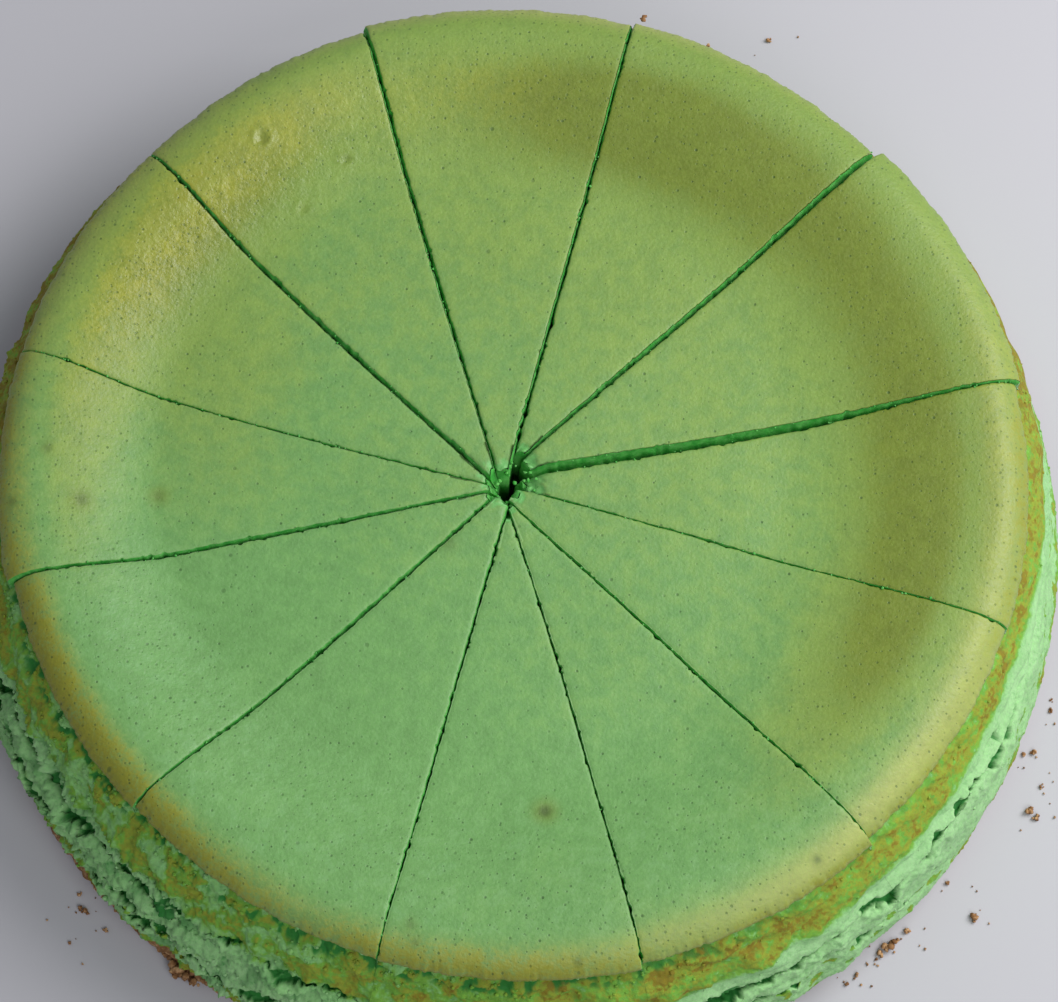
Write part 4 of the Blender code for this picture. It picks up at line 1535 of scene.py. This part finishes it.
def curve_through(along: np.ndarray, values: np.ndarray, steps: np.ndarray) -> np.ndarray:
    """Smooth curve through given values, with the slope at each taken from its neighbours."""
    slopes = np.gradient(values, along)
    spot = np.clip(np.searchsorted(along, steps, side="right") - 1, 0, len(along) - 2)
    width = along[spot + 1] - along[spot]
    t = (steps - along[spot]) / width
    from_start = (1.0 + 2.0 * t) * (1.0 - t) ** 2 * values[spot] + t * (1.0 - t) ** 2 * width * slopes[spot]
    from_end = t * t * (3.0 - 2.0 * t) * values[spot + 1] + t * t * (t - 1.0) * width * slopes[spot + 1]
    return from_start + from_end


@dataclass
class SliceBase:
    """The crumb base under one slice."""

    index: int
    radius: float = 126.0
    crumb: float = 0.7
    crumb_length: float = 6.0
    toe: float = 0.5
    spill_angle: float = 229.0
    spill_width: float = 38.0
    spill_extra: float = 1.6
    grain: float = 0.9
    grain_length: float = 1.9
    spacing: float = 0.55
    levels: int = 11
    side_rows: int = 24

    @property
    def node(self) -> str:
        """Name of the CAD node that this piece replaces."""
        return f"slice_{self.index + 1:02d}_base"

    def outline(self, height: float) -> np.ndarray:
        """Outline at one height, counter-clockwise from the tip."""
        tip = SLICES[self.index].tip / FORM.skin_radius
        end_share = self.radius / FORM.skin_radius
        shares = np.linspace(tip, end_share, self.side_rows + 1)[:-1]
        start = FORM.on_ray(FORM.slice_angle(self.index, np.zeros(len(shares)), shares), shares * FORM.skin_radius)
        end = FORM.on_ray(FORM.slice_angle(self.index, np.ones(len(shares)), shares), shares * FORM.skin_radius)
        count = int(math.radians(30.0) * self.radius / self.spacing)
        column = np.linspace(0.0, 1.0, count)
        angle = FORM.slice_angle(self.index, column, np.full(count, end_share))
        radius = self.radius + self.crumb * FORM.ring_noise(angle, height * 2.0, self.crumb_length, 6)
        radius = radius + self.grain * FORM.ring_noise(angle, height, self.grain_length, 21)
        radius = radius + self.spill_extra * bell(angle, self.spill_angle, self.spill_width)
        lower = ease(1.0 - height / 1.2)
        radius = radius - self.toe * lower - 0.35 * ease((height - FORM.base_thickness + 0.8) / 0.8)
        arc = FORM.on_ray(angle, FORM.reach(angle, radius))
        x = np.concatenate([start[0], arc[0], end[0][::-1]])
        y = np.concatenate([start[1], arc[1], end[1][::-1]])
        return np.stack([x, y, np.full(len(x), height)], axis=-1)

    def build(self, material: bpy.types.Material) -> bpy.types.Object:
        """Makes the slice's base as one closed mesh."""
        skin = Skin()
        rings = [skin.add(self.outline(height)) for height in np.linspace(0.0, FORM.base_thickness, self.levels)]
        for lower, upper in zip(rings, rings[1:]):
            skin.strip(np.append(lower, lower[0]), np.append(upper, upper[0]), 0)
        skin.face(rings[0][::-1], 0)
        skin.face(rings[-1], 0)
        thing = skin.to_object(self.node + "_finished", [material])
        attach(thing, BODY)
        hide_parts(self.node)
        return thing


@dataclass(frozen=True)
class LooseCrumbs:
    """Biscuit crumbs lying round the foot."""

    crumbs: tuple[tuple[float, float, float], ...] = (
        (125.8, -37.6, 0.65), (126.1, -35.1, 0.45), (119.4, -48.5, 0.70), (121.9, -48.3, 0.95), (123.5, -55.9, 0.60),
        (120.5, -61.6, 1.15), (122.2, -63.4, 0.85), (101.9, -79.4, 0.70), (108.0, -87.2, 1.15), (92.9, -90.7, 0.85),
        (89.6, -94.0, 1.30), (88.2, -94.9, 1.10), (87.0, -96.3, 0.90), (90.9, -93.0, 0.60), (85.9, -97.6, 0.50),
        (81.5, -101.5, 0.70), (79.6, -103.6, 0.55), (-93.6, -91.9, 0.65), (-92.6, -95.4, 0.85), (-91.5, -96.1, 0.50),
        (-86.9, -99.7, 0.60), (-94.8, -103.0, 0.45), (57.2, 132.6, 0.80), (22.4, 133.0, 0.95), (20.3, 132.6, 0.60),
    )
    on_rim: tuple[tuple[float, float, float, float], ...] = ((24.0, 113.2, 42.9, 1.0), (39.4, 107.2, 43.3, 0.55))
    room: tuple[float, float] = (134.4, 134.9)
    grains: int = 6
    grain_shares: tuple[float, float] = (0.28, 0.62)
    scatter: float = 0.42
    rim_scatter: float = 0.40
    dust: int = 46
    dust_sizes: tuple[float, float] = (0.12, 0.30)
    dust_spread: float = 3.0
    seed: int = 11

    def build(self, tree: bpy.types.NodeTree, material: bpy.types.Material) -> bpy.types.Object:
        """Makes the crumbs, and much finer dust near them."""
        lumps = Lumps("loose_crumbs", "biscuit_crumb", self.seed, unevenness=1.3)
        rng = np.random.default_rng(self.seed)
        for x, y, size in self.crumbs:
            for _ in range(self.grains):
                dx, dy = rng.normal(0.0, self.scatter * size, 2)
                grain = size * rng.uniform(*self.grain_shares)
                lumps.put(x + dx, y + dy, rng.uniform(1.1, 1.7) * grain, grain)
        for x, y, z, size in self.on_rim:
            for _ in range(self.grains):
                dx, dy, dz = rng.normal(0.0, self.rim_scatter * size, 3)
                lumps.put(x + dx, y + dy, z + 0.5 * abs(dz), size * rng.uniform(*self.grain_shares))
        for _ in range(self.dust):
            x, y, _ = self.crumbs[rng.integers(len(self.crumbs))]
            size = rng.uniform(*self.dust_sizes)
            dx, dy = rng.normal(0.0, self.dust_spread), rng.normal(0.0, self.dust_spread)
            lumps.put(x + dx, y + dy, 1.2 * size, size)
        limit = np.array(self.room) * MM
        kept = [np.all(np.abs(np.array(point[:2])) < limit) for point in lumps.points]
        lumps.points = [point for point, keep in zip(lumps.points, kept) if keep]
        for name, rows in lumps.values.items():
            lumps.values[name] = [value for value, keep in zip(rows, kept) if keep]
        return lumps.build(tree, material)


@dataclass(frozen=True)
class FootGranules:
    """Granules of the base that crumble out at the foot, with one clump."""

    start: float = 218.0
    end: float = 254.0
    count: int = 190
    radius: float = 127.3
    sizes: tuple[float, float] = (0.28, 0.75)
    heights: tuple[float, float] = (1.1, 4.6)
    clump: tuple[float, float, float] = (-69.0, -108.9, 4.2)
    clump_count: int = 56
    clump_sizes: tuple[float, float] = (0.4, 0.95)
    clump_heights: tuple[float, float] = (1.3, 3.6)
    seed: int = 23

    def build(self, tree: bpy.types.NodeTree, material: bpy.types.Material) -> bpy.types.Object:
        """Makes the granules."""
        lumps = Lumps("foot_granules", "biscuit_crumb", self.seed, unevenness=1.4)
        rng = np.random.default_rng(self.seed)
        for _ in range(self.count):
            middle = 0.5 * (self.start + self.end)
            angle = math.radians(np.clip(rng.normal(middle, 0.26 * (self.end - self.start)), self.start, self.end))
            size = rng.uniform(*self.sizes)
            radius = self.radius + rng.uniform(-0.7, 0.5)
            lumps.put(radius * math.cos(angle), radius * math.sin(angle), rng.uniform(*self.heights), size)
        x, y, spread = self.clump
        along = math.atan2(y, x) + math.pi / 2.0
        for _ in range(self.clump_count):
            step, out = rng.normal(0.0, 0.5 * spread), rng.normal(0.0, 0.8)
            size = rng.uniform(*self.clump_sizes)
            spot_x = x + step * math.cos(along) + out * math.sin(along)
            spot_y = y + step * math.sin(along) - out * math.cos(along)
            lumps.put(spot_x, spot_y, rng.uniform(*self.clump_heights), size)
        return lumps.build(tree, material)


@dataclass(frozen=True)
class TornBits:
    """Small torn bits of filling along the cuts and round the pit."""

    counts: tuple[int, ...] = (34, 34, 10, 14, 36, 30, 20, 26, 8, 10, 32, 30)
    sizes: tuple[float, float] = (0.10, 0.30)
    pit_count: int = 40
    pit_sizes: tuple[float, float] = (0.15, 0.5)
    seed: int = 37

    def build(self, tree: bpy.types.NodeTree, material: bpy.types.Material) -> bpy.types.Object:
        """Makes the bits."""
        lumps = Lumps("torn_bits", "green_filling", self.seed, unevenness=1.5)
        rng = np.random.default_rng(self.seed)
        for cut, count in zip(CUTS, self.counts):
            for _ in range(count):
                share = float(rng.uniform(0.05, 0.99) ** 0.85)
                side = float(rng.choice((-1.0, 1.0)))
                angle = float(FORM.face_angle(cut, np.array(share), side))
                away = share * float(FORM.reach(np.array(angle), FORM.skin_radius))
                x, y = FORM.on_ray(np.array(angle), np.array(away))
                size = float(rng.uniform(*self.sizes))
                shift = side * rng.uniform(-0.25, 0.12)
                z = float(FORM.top_height(x, y, np.array(FORM.skin_radius)))
                lumps.put(float(x) - math.sin(angle) * shift, float(y) + math.cos(angle) * shift,
                          z - rng.uniform(0.0, 0.45), size)
        for _ in range(self.pit_count):
            angle, away = rng.uniform(0.0, FULL_TURN), rng.uniform(2.0, 7.5)
            lumps.put(FORM.hub_x + away * math.cos(angle), FORM.hub_y + away * math.sin(angle),
                      FORM.middle_height - 2.8 + 0.30 * away + rng.uniform(-0.5, 0.1), rng.uniform(*self.pit_sizes))
        return lumps.build(tree, material)


# Camera, light and floor


@dataclass(frozen=True)
class Viewpoint:
    """The photo's camera: a long lens looking steeply down, rolled a little."""

    elevation: float = 70.66
    roll: float = 2.89
    distance: float = 648.2
    aim: tuple[float, float, float] = (2.94, -8.15, 44.0)
    lens: float = 100.0
    sensor: float = 36.0

    def build(self) -> bpy.types.Object:
        """Makes the camera and sets it as the scene's."""
        tilt, roll = math.radians(self.elevation), math.radians(self.roll)
        back = Vector((0.0, -math.cos(tilt), math.sin(tilt)))
        right = Vector((1.0, 0.0, 0.0))
        up = back.cross(right)
        turned_right = math.cos(roll) * right + math.sin(roll) * up
        turned_up = math.cos(roll) * up - math.sin(roll) * right
        data = bpy.data.cameras.new("camera")
        data.lens = self.lens
        data.sensor_width = self.sensor
        camera = put_in_scene("camera", data)
        place = Vector(self.aim) * MM + back * self.distance * MM
        turn = Matrix((turned_right, turned_up, back)).transposed().to_4x4()
        camera.matrix_world = Matrix.Translation(place) @ turn
        bpy.context.scene.camera = camera
        return camera


@dataclass(frozen=True)
class Lamp:
    """One soft square light: where it stands, as seen from the cake, and how strong it is."""

    name: str
    azimuth: float
    elevation: float
    distance: float
    width: float
    power: float
    tint: Colour = (1.0, 0.985, 0.97)

    def build(self) -> bpy.types.Object:
        """Makes the light, turned towards the cake."""
        data = bpy.data.lights.new(self.name, "AREA")
        data.shape = "SQUARE"
        data.size = self.width
        data.energy = self.power
        data.color = self.tint
        light = put_in_scene(self.name, data)
        turn, tilt = math.radians(self.azimuth), math.radians(self.elevation)
        away = Vector((math.cos(turn) * math.cos(tilt), math.sin(turn) * math.cos(tilt), math.sin(tilt)))
        light.location = away * self.distance
        light.rotation_euler = away.to_track_quat("Z", "Y").to_euler()
        return light


@dataclass(frozen=True)
class StudioLight:
    """Soft window-like light from the right, behind and before the cake, with a pale surrounding."""

    lamps: tuple[Lamp, ...] = (
        Lamp("window", 22.0, 47.0, 0.80, 0.50, 6.4),
        Lamp("window_front", -60.0, 48.0, 1.0, 0.50, 3.2),
    )
    surround: Colour = (0.92, 0.94, 1.0)
    strength: float = 0.345

    def build(self) -> None:
        """Makes the lights and the world."""
        for lamp in self.lamps:
            lamp.build()
        world = bpy.data.worlds.new("surround")
        world.use_nodes = True
        background = world.node_tree.nodes["Background"]
        background.inputs["Color"].default_value = (*self.surround, 1.0)
        background.inputs["Strength"].default_value = self.strength
        bpy.context.scene.world = world
        bpy.context.scene.view_settings.view_transform = "Standard"


@dataclass(frozen=True)
class Floor:
    """A plain pale floor."""

    half_width: float = 1.5
    colour: Colour = (0.44, 0.44, 0.475)

    def build(self) -> bpy.types.Object:
        """Makes the floor."""
        mesh = bpy.data.meshes.new("floor")
        w = self.half_width
        mesh.from_pydata([(-w, -w, 0.0), (w, -w, 0.0), (w, w, 0.0), (-w, w, 0.0)], [], [(0, 1, 2, 3)])
        material = bpy.data.materials.new("pale_floor")
        material.use_nodes = True
        principled(material, Base_Color=(*self.colour, 1.0), Roughness=0.6, Specular_IOR_Level=0.3)
        mesh.materials.append(material)
        floor = put_in_scene("floor", mesh)
        return floor


def report(thing: bpy.types.Object) -> None:
    """Logs a finished piece."""
    LOG.info("%s: %d faces", thing.name, len(thing.data.polygons))


def main() -> None:
    """Builds the cake, then the floor, the light and the camera."""
    logging.basicConfig(level=logging.INFO, format="%(message)s")
    effects = Effects(make_specks(), make_mottle(), make_crumb())
    filling = [finish.build(effects) for finish in (BakedTop(), TornWall(), CutFace())]
    biscuit = BiscuitCrumb().build(effects)
    crumbs = WallCrumbs()
    for index in range(len(SLICES)):
        report(SliceFilling(index, crumbs).build(filling))
        report(SliceBase(index).build(biscuit))
    tree = make_lumps_tree()
    report(crumbs.lumps.build(tree, filling[Part.WALL.value]))
    report(TornBits().build(tree, filling[Part.CUT.value]))
    report(FootGranules().build(tree, biscuit))
    report(LooseCrumbs().build(tree, biscuit))
    Floor().build()
    StudioLight().build()
    Viewpoint().build()


if __name__ == "__main__":
    main()
